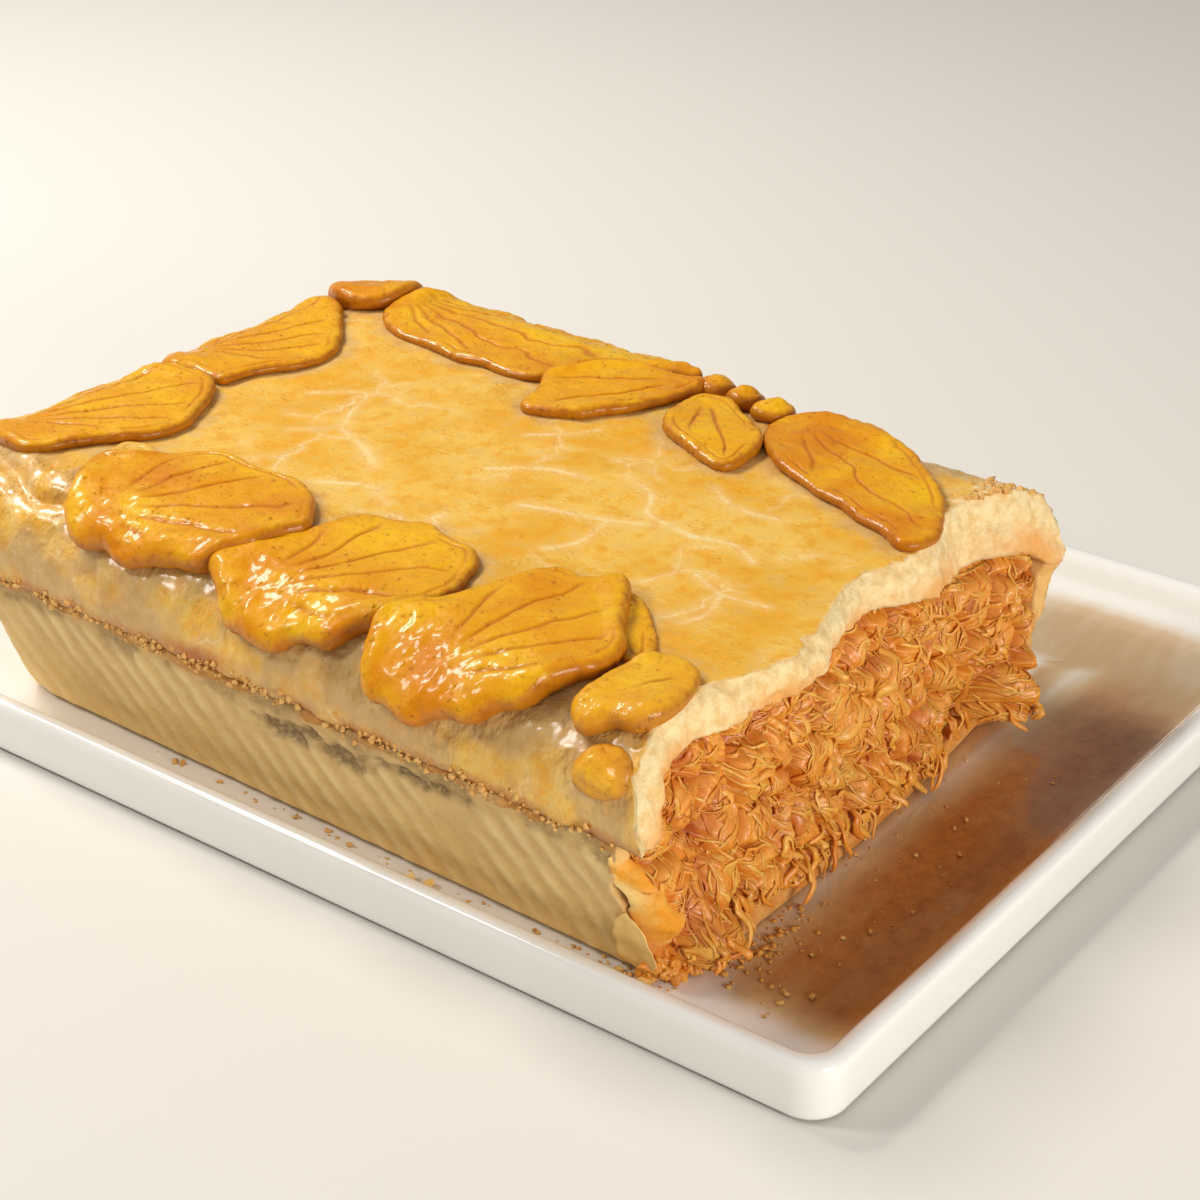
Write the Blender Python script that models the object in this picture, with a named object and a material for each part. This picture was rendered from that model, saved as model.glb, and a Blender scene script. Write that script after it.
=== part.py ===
"""A chicken pot pie in its white rectangular dish, cut square across at one end.

The pie has a ribbed crust case, a filling that runs through it, a domed lid and pastry leaves
laid over the lid's edges. Metres, +Z up. The origin is the middle of the dish's underside, X runs
along the pie towards the cut end and Y runs across it.
"""

import math

import bmesh
import bpy
import numpy as np

# Dish
DISH_LENGTH = 0.350
DISH_WIDTH = 0.250
DISH_CORNER = 0.009
FLOOR_TOP = 0.0044
RIM_TOP = 0.0142

# Crust case: its outer line at the foot and at the seam under the lid
GAP = 0.0003
FOOT_LEFT, FOOT_NEAR, FOOT_FAR, FOOT_CORNER = -0.1025, -0.1032, 0.0462, 0.022
SEAM_LEFT, SEAM_NEAR, SEAM_FAR, SEAM_CORNER = -0.1162, -0.1163, 0.0610, 0.028
SEAM_HEIGHT = 0.0468
CRUST = 0.0050
RIB_DEPTH = 0.0007
LEDGE_OUT = 0.0016
LEDGE_DEEP = 0.0024

# Lid
LID_OUT = 0.0008
LID_RISE = 0.0240
SHOULDER = 0.0300
SHOULDER_POWER = 2.4
LID_THICK = 0.0095
LID_EXTRA_FAR = 0.0070
LID_SEAT = 0.0065
LID_SEAT_RAMP = 0.0050
FILLING_CLEAR = 0.0009

# The cut end
CUT = 0.1210
UNCUT_END = 0.1560

# The pie lies a little askew in the dish: it is made square and turned about this place
PIE_TURN = math.radians(-1.35)
PIE_PIVOT = (-0.085, -0.110)

# Leaves
LEAF_GAP = 0.0008
SPACE_BETWEEN_LEAVES = 0.0006
OUTLINE_SPACING = 0.0075
FEWEST_POINTS, MOST_POINTS = 14, 24

MM = 0.001


def clear_scene():
    for old in list(bpy.data.objects):
        bpy.data.objects.remove(old, do_unlink=True)


def material(name, colour, roughness):
    made = bpy.data.materials.new(name)
    made.use_nodes = True
    shader = made.node_tree.nodes["Principled BSDF"]
    shader.inputs["Base Color"].default_value = (*colour, 1.0)
    shader.inputs["Roughness"].default_value = roughness
    shader.inputs["Metallic"].default_value = 0.0
    return made


def put(name, bm, look, smooth_angle=40.0):
    """Turns a bmesh into a scene object with outward faces."""
    bmesh.ops.remove_doubles(bm, verts=bm.verts, dist=1e-6)
    bmesh.ops.recalc_face_normals(bm, faces=bm.faces)
    mesh = bpy.data.meshes.new(name)
    bm.to_mesh(mesh)
    bm.free()
    mesh.shade_smooth()
    mesh.set_sharp_from_angle(angle=math.radians(smooth_angle))
    obj = bpy.data.objects.new(name, mesh)
    bpy.context.scene.collection.objects.link(obj)
    if look is not None:
        mesh.materials.append(look)
    return obj


def turn_into_dish(obj):
    """Turns a piece of the pie about the pivot."""
    x, y = PIE_PIVOT
    c, s = math.cos(PIE_TURN), math.sin(PIE_TURN)
    obj.location = (x - c * x + s * y, y - s * x - c * y, 0.0)
    obj.rotation_euler = (0.0, 0.0, PIE_TURN)


def loft(rings):
    """Bridges closed rings of equally many points and closes both ends with a fan."""
    bm = bmesh.new()
    rows = [[bm.verts.new(point) for point in ring] for ring in rings]
    count = len(rows[0])
    for lower, upper in zip(rows, rows[1:]):
        for i in range(count):
            j = (i + 1) % count
            bm.faces.new((lower[i], lower[j], upper[j], upper[i]))
    for row in (rows[0], rows[-1]):
        middle = sum((vert.co for vert in row), row[0].co * 0) / count
        centre = bm.verts.new(middle)
        for i in range(count):
            bm.faces.new((row[i], row[(i + 1) % count], centre))
    return bm


def rounded_rectangle(left, right, near, far, corner, spacing, round_right=True):
    """Points round a rectangle: straight runs at an even spacing, corners as quarter circles."""
    corners = [
        ((right - corner, near + corner), -90.0, round_right),
        ((right - corner, far - corner), 0.0, round_right),
        ((left + corner, far - corner), 90.0, True),
        ((left + corner, near + corner), 180.0, True),
    ]
    points = []
    for (x, y), start, is_round in corners:
        steps = 5 if is_round else 1
        for k in range(steps):
            angle = math.radians(start + 90.0 * k / max(steps - 1, 1))
            if is_round:
                points.append((x + corner * math.cos(angle), y + corner * math.sin(angle)))
        if not is_round:
            points.append((right, near if start < 0 else far))
    outline = []
    for here, after in zip(points, points[1:] + points[:1]):
        length = math.dist(here, after)
        pieces = max(1, round(length / spacing)) if length > corner else 1
        for k in range(pieces):
            t = k / pieces
            outline.append((here[0] + (after[0] - here[0]) * t, here[1] + (after[1] - here[1]) * t))
    return outline


def wall_line(height):
    """The case's outer line at a height: left, near, far and corner radius."""
    t = (height - FLOOR_TOP) / (SEAM_HEIGHT - FLOOR_TOP)
    return (
        FOOT_LEFT + (SEAM_LEFT - FOOT_LEFT) * t,
        FOOT_NEAR + (SEAM_NEAR - FOOT_NEAR) * t,
        FOOT_FAR + (SEAM_FAR - FOOT_FAR) * t,
        FOOT_CORNER + (SEAM_CORNER - FOOT_CORNER) * t,
    )


def pie_ring(height, inset, runs, rib=0.0):
    """A ring of the pie at a height. runs are the pieces on a long side, the left end and a corner.

    Each ring has the same count, so that rings at any height and inset can be bridged. A rib
    pushes every other point out.
    """
    left, near, far, corner = wall_line(height)
    left, near, far = left + inset, near + inset, far - inset
    corner = max(corner - inset, 0.006)
    along, across, turn = runs
    points = []
    for k in range(along):
        points.append((UNCUT_END + (left + corner - UNCUT_END) * k / along, far, 0.0, 1.0))
    for k in range(turn):
        angle = math.radians(90.0 + 90.0 * k / turn)
        c, s = math.cos(angle), math.sin(angle)
        points.append((left + corner + corner * c, far - corner + corner * s, c, s))
    for k in range(across):
        y = far - corner + (near - far + 2 * corner) * k / across
        points.append((left, y, -1.0, 0.0))
    for k in range(turn):
        angle = math.radians(180.0 + 90.0 * k / turn)
        c, s = math.cos(angle), math.sin(angle)
        points.append((left + corner + corner * c, near + corner + corner * s, c, s))
    for k in range(along + 1):
        points.append((left + corner + (UNCUT_END - left - corner) * k / along, near, 0.0, -1.0))
    ring = []
    for index, (x, y, out_x, out_y) in enumerate(points):
        push = rib if index % 2 else 0.0
        ring.append((x + out_x * push, y + out_y * push, height))
    return ring


def lid_depth(x, y):
    """How far inside the lid's edge a place lies, measured square to the nearest edge."""
    left, near, far = SEAM_LEFT - LID_OUT, SEAM_NEAR - LID_OUT, SEAM_FAR + LID_OUT
    corner = SEAM_CORNER + LID_OUT
    from_end = corner - (x - left)
    from_side = corner - np.minimum(y - near, far - y)
    outside = np.hypot(np.maximum(from_end, 0.0), np.maximum(from_side, 0.0))
    return corner - outside - np.minimum(np.maximum(from_end, from_side), 0.0)


def lid_top(x, y):
    """Height of the lid: a steep rounded shoulder that levels out a shoulder's width inside."""
    depth = np.clip(lid_depth(x, y), 0.0, SHOULDER)
    t = 1.0 - depth / SHOULDER
    swell = 0.0010 * np.sin(31.0 * x + 0.6) * np.sin(27.0 * y + 1.9)
    flat = (1.0 - t**SHOULDER_POWER) ** (1.0 / SHOULDER_POWER)
    return SEAM_HEIGHT + GAP + (LID_RISE + swell) * flat


def ease(t):
    """0 to 1, with a soft start and end."""
    t = np.clip(t, 0.0, 1.0)
    return t * t * (3.0 - 2.0 * t)


def lid_under(x, y):
    """Height of the lid's underside: flat on the case's rim, then a lid's thickness under the top."""
    ramp = ease((lid_depth(x, y) - LID_SEAT) / LID_SEAT_RAMP)
    thick = LID_THICK + LID_EXTRA_FAR * ease((y + 0.020) / 0.050)
    seat = SEAM_HEIGHT + GAP
    return seat + np.maximum(lid_top(x, y) - thick - seat, 0.0) * ramp


def shoulder_arc():
    """Depths inside the lid's edge, and the length along the shoulder's curve up to each."""
    depth = SHOULDER * np.linspace(0.0, 1.0, 2001) ** 2
    rise = LID_RISE * (1.0 - (1.0 - depth / SHOULDER) ** SHOULDER_POWER) ** (1.0 / SHOULDER_POWER)
    steps = np.hypot(np.diff(depth), np.diff(rise))
    return depth, np.concatenate([[0.0], np.cumsum(steps)])


ARC_DEPTH, ARC_LENGTH = shoulder_arc()


def drape(x, y, lift):
    """Lays flat places over the lid. Past the shoulder's start they follow its curve down."""
    step = 0.00005
    depth = lid_depth(x, y)
    inward = np.stack([
        lid_depth(x + step, y) - lid_depth(x - step, y),
        lid_depth(x, y + step) - lid_depth(x, y - step),
    ], axis=-1)
    inward /= np.linalg.norm(inward, axis=-1, keepdims=True) + 1e-12
    along = ARC_LENGTH[-1] - (SHOULDER - depth)
    true_depth = np.where(depth < SHOULDER, np.interp(along, ARC_LENGTH, ARC_DEPTH), depth)
    place = np.stack([x, y], axis=-1) + inward * (true_depth - depth)[..., None]
    px, py = place[..., 0], place[..., 1]
    step = 0.0004
    slope = (lid_top(px + inward[..., 0] * step, py + inward[..., 1] * step) - lid_top(px, py)) / step
    slope = np.where(true_depth < SHOULDER, slope, 0.0)
    size = np.sqrt(1.0 + slope**2)
    out = -inward * (slope / size)[..., None] * lift[..., None]
    return np.stack([px + out[..., 0], py + out[..., 1], lid_top(px, py) + lift / size], axis=-1)


def lid_ring(depth, surface, runs):
    """A ring of the lid at a depth inside its edge, lifted onto a surface."""
    flat = pie_ring(SEAM_HEIGHT, depth - LID_OUT, runs)
    return [(x, y, float(surface(x, y))) for x, y, _ in flat]


def cut_face(height_to_x, name):
    """A hidden block beyond the cut. height_to_x gives the cut's X at each Y and Z."""
    rows = 12
    columns = 32
    bm = bmesh.new()
    front = []
    back = []
    for i in range(columns):
        y = -0.135 + 0.215 * i / (columns - 1)
        front.append([])
        back.append([])
        for k in range(rows):
            z = -0.002 + 0.088 * k / (rows - 1)
            front[i].append(bm.verts.new((height_to_x(y, z), y, z)))
            back[i].append(bm.verts.new((0.185, y, z)))
    for sheet in (front, back):
        for i in range(columns - 1):
            for k in range(rows - 1):
                bm.faces.new((sheet[i][k], sheet[i + 1][k], sheet[i + 1][k + 1], sheet[i][k + 1]))
    edge = [(i, 0) for i in range(columns)] + [(columns - 1, k) for k in range(1, rows)]
    edge += [(i, rows - 1) for i in range(columns - 2, -1, -1)]
    edge += [(0, k) for k in range(rows - 2, 0, -1)]
    for (i, k), (m, n) in zip(edge, edge[1:] + edge[:1]):
        bm.faces.new((front[i][k], front[m][n], back[m][n], back[i][k]))
    block = put(name, bm, None)
    block.hide_render = True
    block.display_type = "WIRE"
    return block


def bump(value, middle, width):
    return math.exp(-(((value - middle) / width) ** 2))


def wave(y, z, seed):
    """Three crossed waves, between -1 and 1."""
    total = 0.0
    for k, (pace_y, pace_z) in enumerate(((95.0, 60.0), (190.0, -150.0), (330.0, 260.0))):
        total += math.sin(pace_y * y + pace_z * z + seed * (k + 1.7)) / (k + 1.6)
    return total / 1.4


def filling_cut(y, z):
    """The filling's face: it bulges, leans back towards the lid and slumps at both corners."""
    lean = 0.0025 * (z - 0.030) / 0.030
    hollow = 0.0060 * bump(y, 0.026, 0.008) * bump(z, 0.012, 0.009)
    far_slump = 0.0130 * bump(y, 0.0445, 0.007) * bump(z, 0.006, 0.011)
    near_slump = 0.0060 * bump(y, -0.093, 0.009) * bump(z, 0.008, 0.010)
    far_reach = 0.0050 * bump(y, 0.055, 0.018)
    return CUT + 0.0005 - lean - hollow + far_slump + near_slump + far_reach + 0.0018 * wave(y, z, 0.4)


def case_cut(y, z):
    """The case's broken edge: the base and the far wall reach furthest, the near wall is torn back."""
    base_reach = 0.0045 * bump(z, 0.004, 0.006) * (1.0 - bump(y, 0.030, 0.020))
    near_tear = 0.0060 * bump(y, -0.112, 0.014) * bump(z, 0.030, 0.014)
    far_reach = 0.0045 * bump(y, 0.058, 0.014)
    return CUT - 0.0010 + base_reach - near_tear + far_reach + 0.0012 * wave(y, z, 2.1)


def lid_cut(y, z):
    """The lid's broken edge: it leans back as it rises and steps in where flakes came away."""
    lean = 0.25 * (z - 0.0640)
    steps = 0.0050 * bump(y, -0.022, 0.014) + 0.0070 * bump(y, 0.026, 0.014)
    middle = 0.0050 * bump(y, -0.062, 0.018)
    far_reach = 0.0010 * bump(y, 0.060, 0.014)
    return CUT - lean - steps + middle + far_reach + 0.0010 * wave(y, z, 3.3)


def take_away(obj, cutter, name):
    cut = obj.modifiers.new(name, "BOOLEAN")
    cut.operation = "DIFFERENCE"
    cut.solver = "EXACT"
    cut.object = cutter


def build_dish(look):
    profile = [
        (0.0012, 0.0),
        (0.0002, 0.0010),
        (0.0001, 0.0110),
        (0.0006, 0.0133),
        (0.0018, RIM_TOP),
        (0.0046, 0.0138),
        (0.0062, 0.0122),
        (0.0080, 0.0080),
        (0.0108, 0.0053),
        (0.0150, FLOOR_TOP),
    ]
    rings = []
    for inset, height in profile:
        x, y = DISH_LENGTH / 2 - inset, DISH_WIDTH / 2 - inset
        corner = max(DISH_CORNER - inset * 0.45, 0.004)
        outline = rounded_rectangle(-x, x, -y, y, corner, 1.0)
        rings.append([(px, py, height) for px, py in outline])
    return put("dish", loft(rings), look)


def build_case(look, cutter):
    runs = (56, 36, 4)
    foot = FLOOR_TOP + GAP
    levels = [
        (foot, 0.0016, 0.0),
        (foot + 0.0030, 0.0, RIB_DEPTH),
        (SEAM_HEIGHT - 0.0080, 0.0, RIB_DEPTH),
        (SEAM_HEIGHT - LEDGE_DEEP, -LEDGE_OUT * 0.4, 0.0),
        (SEAM_HEIGHT - LEDGE_DEEP * 0.6, -LEDGE_OUT, RIB_DEPTH * 0.6),
        (SEAM_HEIGHT, -LEDGE_OUT * 0.6, 0.0),
    ]
    shell = put("crust_case", loft([pie_ring(z, i, runs, rib) for z, i, rib in levels]), look)
    hollow_runs = (12, 6, 4)
    hollow = put(
        "case_hollow",
        loft([
            pie_ring(foot + CRUST, CRUST, hollow_runs),
            pie_ring(SEAM_HEIGHT + 0.004, CRUST, hollow_runs),
        ]),
        None,
    )
    hollow.hide_render = True
    hollow.display_type = "WIRE"
    take_away(shell, hollow, "Hollow")
    take_away(shell, cutter, "Cut end")
    return shell


UNDER_DEPTHS = (0.0072, 0.0085, 0.0100, 0.0116, 0.0180, 0.0300, 0.0550, 0.0800)


def build_filling(look, cutter):
    runs = (12, 6, 4)
    foot = FLOOR_TOP + GAP + CRUST + GAP
    rings = [pie_ring(foot, CRUST + GAP, runs), pie_ring(SEAM_HEIGHT - GAP, CRUST + GAP, runs)]
    rings += [lid_ring(d, lambda x, y: lid_under(x, y) - FILLING_CLEAR, runs) for d in UNDER_DEPTHS]
    filling = put("filling", loft(rings), look)
    take_away(filling, cutter, "Cut end")
    return filling


def build_lid(look, cutter):
    runs = (12, 6, 4)
    rings = [lid_ring(d, lid_under, runs) for d in reversed(UNDER_DEPTHS)]
    rings.append(lid_ring(LID_OUT, lid_under, runs))
    edge = [(x, y, z + 0.0012) for x, y, z in lid_ring(0.0, lid_under, runs)]
    rings.append(edge)
    for depth in (0.0004, 0.0016, 0.0040, 0.0080, 0.0130, 0.0200, 0.0300, 0.0550, 0.0800):
        rings.append(lid_ring(depth, lid_top, runs))
    lid = put("lid", loft(rings), look)
    take_away(lid, cutter, "Cut end")
    return lid


# Each leaf's outline in millimetres, as if the dough of the lid lay flat, then how thick it is.
LEAVES = {
    "leaf_far_corner": (
        [(-111, 38), (-109, 50), (-99, 56), (-89, 54), (-87, 44), (-88, 36), (-94, 31), (-103, 32)],
        7.0,
    ),
    "leaf_far_long": (
        [(-87, 42), (-83, 30), (-74, 24), (-60, 21), (-46, 19), (-30, 19), (-15, 21), (-4, 33), (8, 45),
         (18, 50), (8, 57), (-10, 60), (-40, 61), (-68, 59), (-83, 53)],
        5.5,
    ),
    "leaf_far_pointed": (
        [(-8, 4), (-12, 14), (-16, 24), (-12, 33), (-7, 42), (5, 45), (20, 45), (22, 35), (17, 19), (9, 9),
         (0, 4)],
        5.0,
    ),
    "leaf_left_far": (
        [(-116, -22), (-119, 0), (-118, 18), (-111, 31), (-100, 31), (-87, 18), (-75, 4), (-74, -9),
         (-82, -21), (-87, -31), (-95, -33), (-106, -32)],
        5.0,
    ),
    "leaf_left_near": (
        [(-115, -86), (-118, -64), (-115, -46), (-104, -36), (-93, -32), (-82, -35), (-75, -47),
         (-69, -59), (-70, -70), (-77, -79), (-87, -95), (-101, -95)],
        5.0,
    ),
    "dough_scrap": ([(-73, -84), (-73, -76), (-66, -75), (-59, -80), (-62, -85), (-69, -88)], 3.0),
    "stem_strip": ([(75, -66), (82, -64), (92, -70), (101, -80), (104, -88), (96, -89), (84, -75)], 3.5),
    "leaf_near_small": (
        [(102, -109), (99, -102), (101, -92), (106, -83), (114, -84), (119, -90), (120, -99), (118, -107),
         (110, -110)],
        4.5,
    ),
    "leaf_near_middle": (
        [(-11, -108), (-4, -91), (3, -75), (12, -69), (22, -66), (38, -68), (46, -77), (49, -89),
         (44, -105), (34, -113), (19, -120), (3, -118)],
        5.5,
    ),
    "leaf_near_left": (
        [(-61, -107), (-69, -91), (-57, -78), (-43, -68), (-24, -68), (-8, -74), (0, -84), (-2, -98),
         (-11, -110), (-33, -116), (-50, -115)],
        6.0,
    ),
    "leaf_near_right": (
        [(42, -105), (50, -94), (53, -81), (60, -69), (69, -65), (78, -61), (88, -72), (97, -85),
         (98, -97), (90, -111), (79, -117), (66, -121.4), (51, -119.6)],
        7.0,
    ),
    "button": (
        [(106, -118), (108, -113), (113, -110.5), (118, -111.5), (120.5, -115.5), (119.5, -120), (114.5, -122.2),
         (108.5, -121.6)],
        5.0,
    ),
    "leaf_far_right": (
        [(55, 26), (52, 37), (55, 45), (64, 48), (76, 47), (90, 42), (102, 34), (111, 25), (118, 12),
         (120, 4), (115, -3), (104, 1), (91, 7), (78, 10), (65, 16)],
        6.0,
    ),
    "diamond": ([(29, 17), (26, 27), (27, 39), (36, 39), (51, 30), (58, 21), (59, 7), (54, 5), (40, 10)], 5.0),
    "bud_left": ([(18, 49), (22, 54), (28, 53), (30, 48), (27, 44), (21, 44)], 6.5),
    "bud_middle": ([(30, 46), (33, 51), (39, 50), (41, 45), (37, 41), (32, 42)], 6.5),
    "bud_right": ([(41, 43), (44, 48), (50, 48), (53, 43), (49, 38), (43, 38)], 6.0),
}

# Which leaf lies over which: the lower one ends where the upper one covers it.
OVER = [
    ("leaf_far_pointed", "leaf_far_long"),
    ("leaf_left_near", "leaf_left_far"),
    ("leaf_far_corner", "leaf_left_far"),
    ("leaf_near_left", "dough_scrap"),
    ("leaf_left_near", "dough_scrap"),
    ("leaf_near_left", "leaf_near_middle"),
    ("leaf_near_right", "leaf_near_middle"),
    ("leaf_near_right", "stem_strip"),
    ("leaf_near_small", "stem_strip"),
    ("leaf_near_right", "leaf_near_small"),
    ("diamond", "bud_left"),
    ("diamond", "bud_middle"),
    ("diamond", "bud_right"),
    ("leaf_far_right", "bud_right"),
    ("leaf_far_right", "diamond"),
    ("bud_left", "leaf_far_pointed"),
    ("bud_left", "leaf_far_long"),
    ("bud_middle", "bud_left"),
    ("bud_right", "bud_middle"),
    ("leaf_far_corner", "leaf_far_long"),
]


def smooth_outline(points):
    """A closed curve through the points (Catmull-Rom), sampled evenly along its length, in metres."""
    knots = np.array(points, float) * MM
    fine = []
    steps = 12
    for i in range(len(knots)):
        a, b, c, d = (knots[(i + k) % len(knots)] for k in (-1, 0, 1, 2))
        for k in range(steps):
            t = k / steps
            fine.append(
                0.5 * ((2 * b) + (c - a) * t + (2 * a - 5 * b + 4 * c - d) * t**2 + (3 * b - a - 3 * c + d) * t**3)
            )
    fine = np.array(fine)
    closed = np.vstack([fine, fine[:1]])
    length = np.concatenate([[0.0], np.cumsum(np.linalg.norm(np.diff(closed, axis=0), axis=1))])
    count = min(max(round(length[-1] / OUTLINE_SPACING), FEWEST_POINTS), MOST_POINTS)
    even = np.linspace(0.0, length[-1], count, endpoint=False)
    return np.stack([np.interp(even, length, closed[:, 0]), np.interp(even, length, closed[:, 1])], axis=1)


def outward(outline):
    """Unit direction square to the outline, pointing out, at each of its points."""
    along = np.roll(outline, -1, axis=0) - np.roll(outline, 1, axis=0)
    side = np.stack([along[:, 1], -along[:, 0]], axis=1)
    side /= np.linalg.norm(side, axis=1, keepdims=True)
    turn = np.sum(outline[:, 0] * np.roll(outline[:, 1], -1) - outline[:, 1] * np.roll(outline[:, 0], -1))
    return side * np.sign(turn)


def draped_slab(outline, steps):
    """Rings of an outline laid over the lid. Each step is a size, a push square to it and a lift."""
    side = outward(outline)
    middle = outline.mean(axis=0)
    rings = []
    for size, push, lift in steps:
        flat = middle + (outline - middle) * size + side * push
        ring = drape(flat[:, 0], flat[:, 1], np.full(len(flat), lift))
        rings.append([tuple(point) for point in ring])
    return loft(rings)


def build_leaf(name, points, thick, look):
    """A slab laid over the lid: flat underneath, rounded at its edge and a little dished on top."""
    thick = thick * MM
    edge = min(0.0022, thick * 0.4)
    steps = [
        (0.34, -edge * 0.20, LEAF_GAP),
        (0.68, -edge * 0.40, LEAF_GAP),
        (1.0, -edge * 0.6, LEAF_GAP),
        (1.0, 0.0, LEAF_GAP + thick * 0.45),
        (1.0, -edge, LEAF_GAP + thick * 0.95),
        (0.72, -edge * 0.72, LEAF_GAP + thick * 0.92),
        (0.36, -edge * 0.36, LEAF_GAP + thick * 0.82),
    ]
    return put(name, draped_slab(smooth_outline(points), steps), look, 60.0)


def leaf_cutter(name, points):
    """A hidden block over a leaf's outline and the space round it, as deep as any leaf."""
    outline = smooth_outline(points)
    grown = outline + outward(outline) * SPACE_BETWEEN_LEAVES
    low, high = -0.002, 0.011
    steps = [(0.4, 0.0, low), (1.0, 0.0, low), (1.0, 0.0, high), (0.4, 0.0, high)]
    block = put(name + "_space", draped_slab(grown, steps), None)
    block.hide_render = True
    block.display_type = "WIRE"
    return block


def build_leaves(looks):
    built = {name: build_leaf(name, *shape, looks[name == "dough_scrap"]) for name, shape in LEAVES.items()}
    cutters = {upper: leaf_cutter(upper, LEAVES[upper][0]) for upper in dict.fromkeys(u for u, _ in OVER)}
    for upper, lower in OVER:
        take_away(built[lower], cutters[upper], "Under " + upper)


def main():
    clear_scene()
    ceramic = material("white_glaze", (0.80, 0.80, 0.78), 0.15)
    crust = material("pale_crust", (0.66, 0.48, 0.24), 0.65)
    egg_wash = material("egg_washed_crust", (0.72, 0.42, 0.09), 0.35)
    baked_leaf = material("baked_leaf", (0.72, 0.34, 0.05), 0.30)
    chicken = material("chicken_in_sauce", (0.72, 0.28, 0.07), 0.45)
    dish = build_dish(ceramic)
    build_case(crust, cut_face(case_cut, "case_end"))
    build_filling(chicken, cut_face(filling_cut, "filling_end"))
    build_lid(egg_wash, cut_face(lid_cut, "lid_end"))
    build_leaves((baked_leaf, crust))
    for piece in bpy.data.objects:
        if piece is not dish:
            turn_into_dish(piece)


main()
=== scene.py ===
# %% [markdown]
# # A chicken pot pie in its white dish
#
# The pie is a raised oblong one: a ribbed case of short dough, a filling of shredded chicken in tomato
# sauce, a domed lid brushed with egg, and pastry leaves laid round the lid's edge. One end has been cut
# away, so the filling shows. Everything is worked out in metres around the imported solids, which stay the
# measure of where each piece goes.

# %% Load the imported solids
import math

import bmesh
import bpy
import numpy as np
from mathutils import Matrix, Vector


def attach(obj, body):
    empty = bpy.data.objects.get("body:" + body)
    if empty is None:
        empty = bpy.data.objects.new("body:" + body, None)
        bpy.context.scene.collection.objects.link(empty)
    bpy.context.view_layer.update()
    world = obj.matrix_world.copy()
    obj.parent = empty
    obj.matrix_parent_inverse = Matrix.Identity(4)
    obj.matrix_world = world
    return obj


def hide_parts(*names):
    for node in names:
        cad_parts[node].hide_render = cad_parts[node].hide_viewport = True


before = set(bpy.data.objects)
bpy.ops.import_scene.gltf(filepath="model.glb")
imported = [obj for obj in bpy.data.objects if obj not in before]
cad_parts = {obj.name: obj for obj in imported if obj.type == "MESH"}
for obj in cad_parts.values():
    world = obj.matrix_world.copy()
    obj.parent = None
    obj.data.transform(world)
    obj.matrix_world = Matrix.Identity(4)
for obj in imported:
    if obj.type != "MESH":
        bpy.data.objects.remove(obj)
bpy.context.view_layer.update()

# %% [markdown]
# ## Helpers: grids, meshes and smooth random relief
#
# Each new surface is a grid of points worked out with numpy. A grid could be made with Blender's own
# primitives and then bent, but a formula says exactly where each point goes. The points and faces go
# into the mesh as whole arrays.
#
# Baked food is uneven at every size, so relief comes from gradient noise: each corner of a cubic
# lattice has a random slope, and the slopes are blended smoothly between corners. Octaves of it, each
# finer and lower, make the relief of dough and meat.

# %% Grid and mesh helpers
MM = 0.001


def grid_faces(rows, columns, closed=False, start=0):
    """Quads (i, j), (i, j+1), (i+1, j+1), (i+1, j) of a grid whose point (i, j) has index i*columns + j."""
    i = np.arange(rows - 1)[:, None]
    j = np.arange(columns if closed else columns - 1)[None, :]
    k = (j + 1) % columns
    corners = (i * columns + j, i * columns + k, (i + 1) * columns + k, (i + 1) * columns + j)
    return start + np.stack(np.broadcast_arrays(*corners), axis=-1).reshape(-1, 4)


def piece(name, points, faces, look, stands_for=(), values=None, weld=True):
    """A mesh piece that rides the pie's one body and stands for the named solids.

    faces is a list of index arrays, and values a dict of fields, each with one number a point, which
    the finish reads. Welding joins points that coincide and turns every face outwards.
    """
    points = np.asarray(points, np.float32).reshape(-1, 3)
    mesh = bpy.data.meshes.new(name)
    mesh.vertices.add(len(points))
    mesh.vertices.foreach_set("co", points.ravel())
    corners = np.concatenate([f.ravel() for f in faces]).astype(np.int32)
    sizes = np.concatenate([np.full(len(f), f.shape[1], np.int32) for f in faces])
    mesh.loops.add(len(corners))
    mesh.loops.foreach_set("vertex_index", corners)
    mesh.polygons.add(len(sizes))
    mesh.polygons.foreach_set("loop_start", np.cumsum(sizes, dtype=np.int32) - sizes)
    mesh.update(calc_edges=True)
    for key, numbers in (values or {}).items():
        store = mesh.attributes.new(key, "FLOAT", "POINT")
        store.data.foreach_set("value", np.asarray(numbers, np.float32).ravel())
    if weld:
        bm = bmesh.new()
        bm.from_mesh(mesh)
        bmesh.ops.remove_doubles(bm, verts=bm.verts, dist=2e-6)
        bmesh.ops.dissolve_degenerate(bm, edges=bm.edges, dist=1e-7)
        bmesh.ops.recalc_face_normals(bm, faces=bm.faces)
        bm.to_mesh(mesh)
        bm.free()
    mesh.validate()
    mesh.shade_smooth()
    mesh.materials.append(look)
    obj = bpy.data.objects.new(name, mesh)
    bpy.context.scene.collection.objects.link(obj)
    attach(obj, "root")
    if stands_for:
        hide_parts(*stands_for)
    triangles = sum(len(p.vertices) - 2 for p in mesh.polygons)
    print(f"{name}: {triangles} triangles")
    return obj


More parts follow.
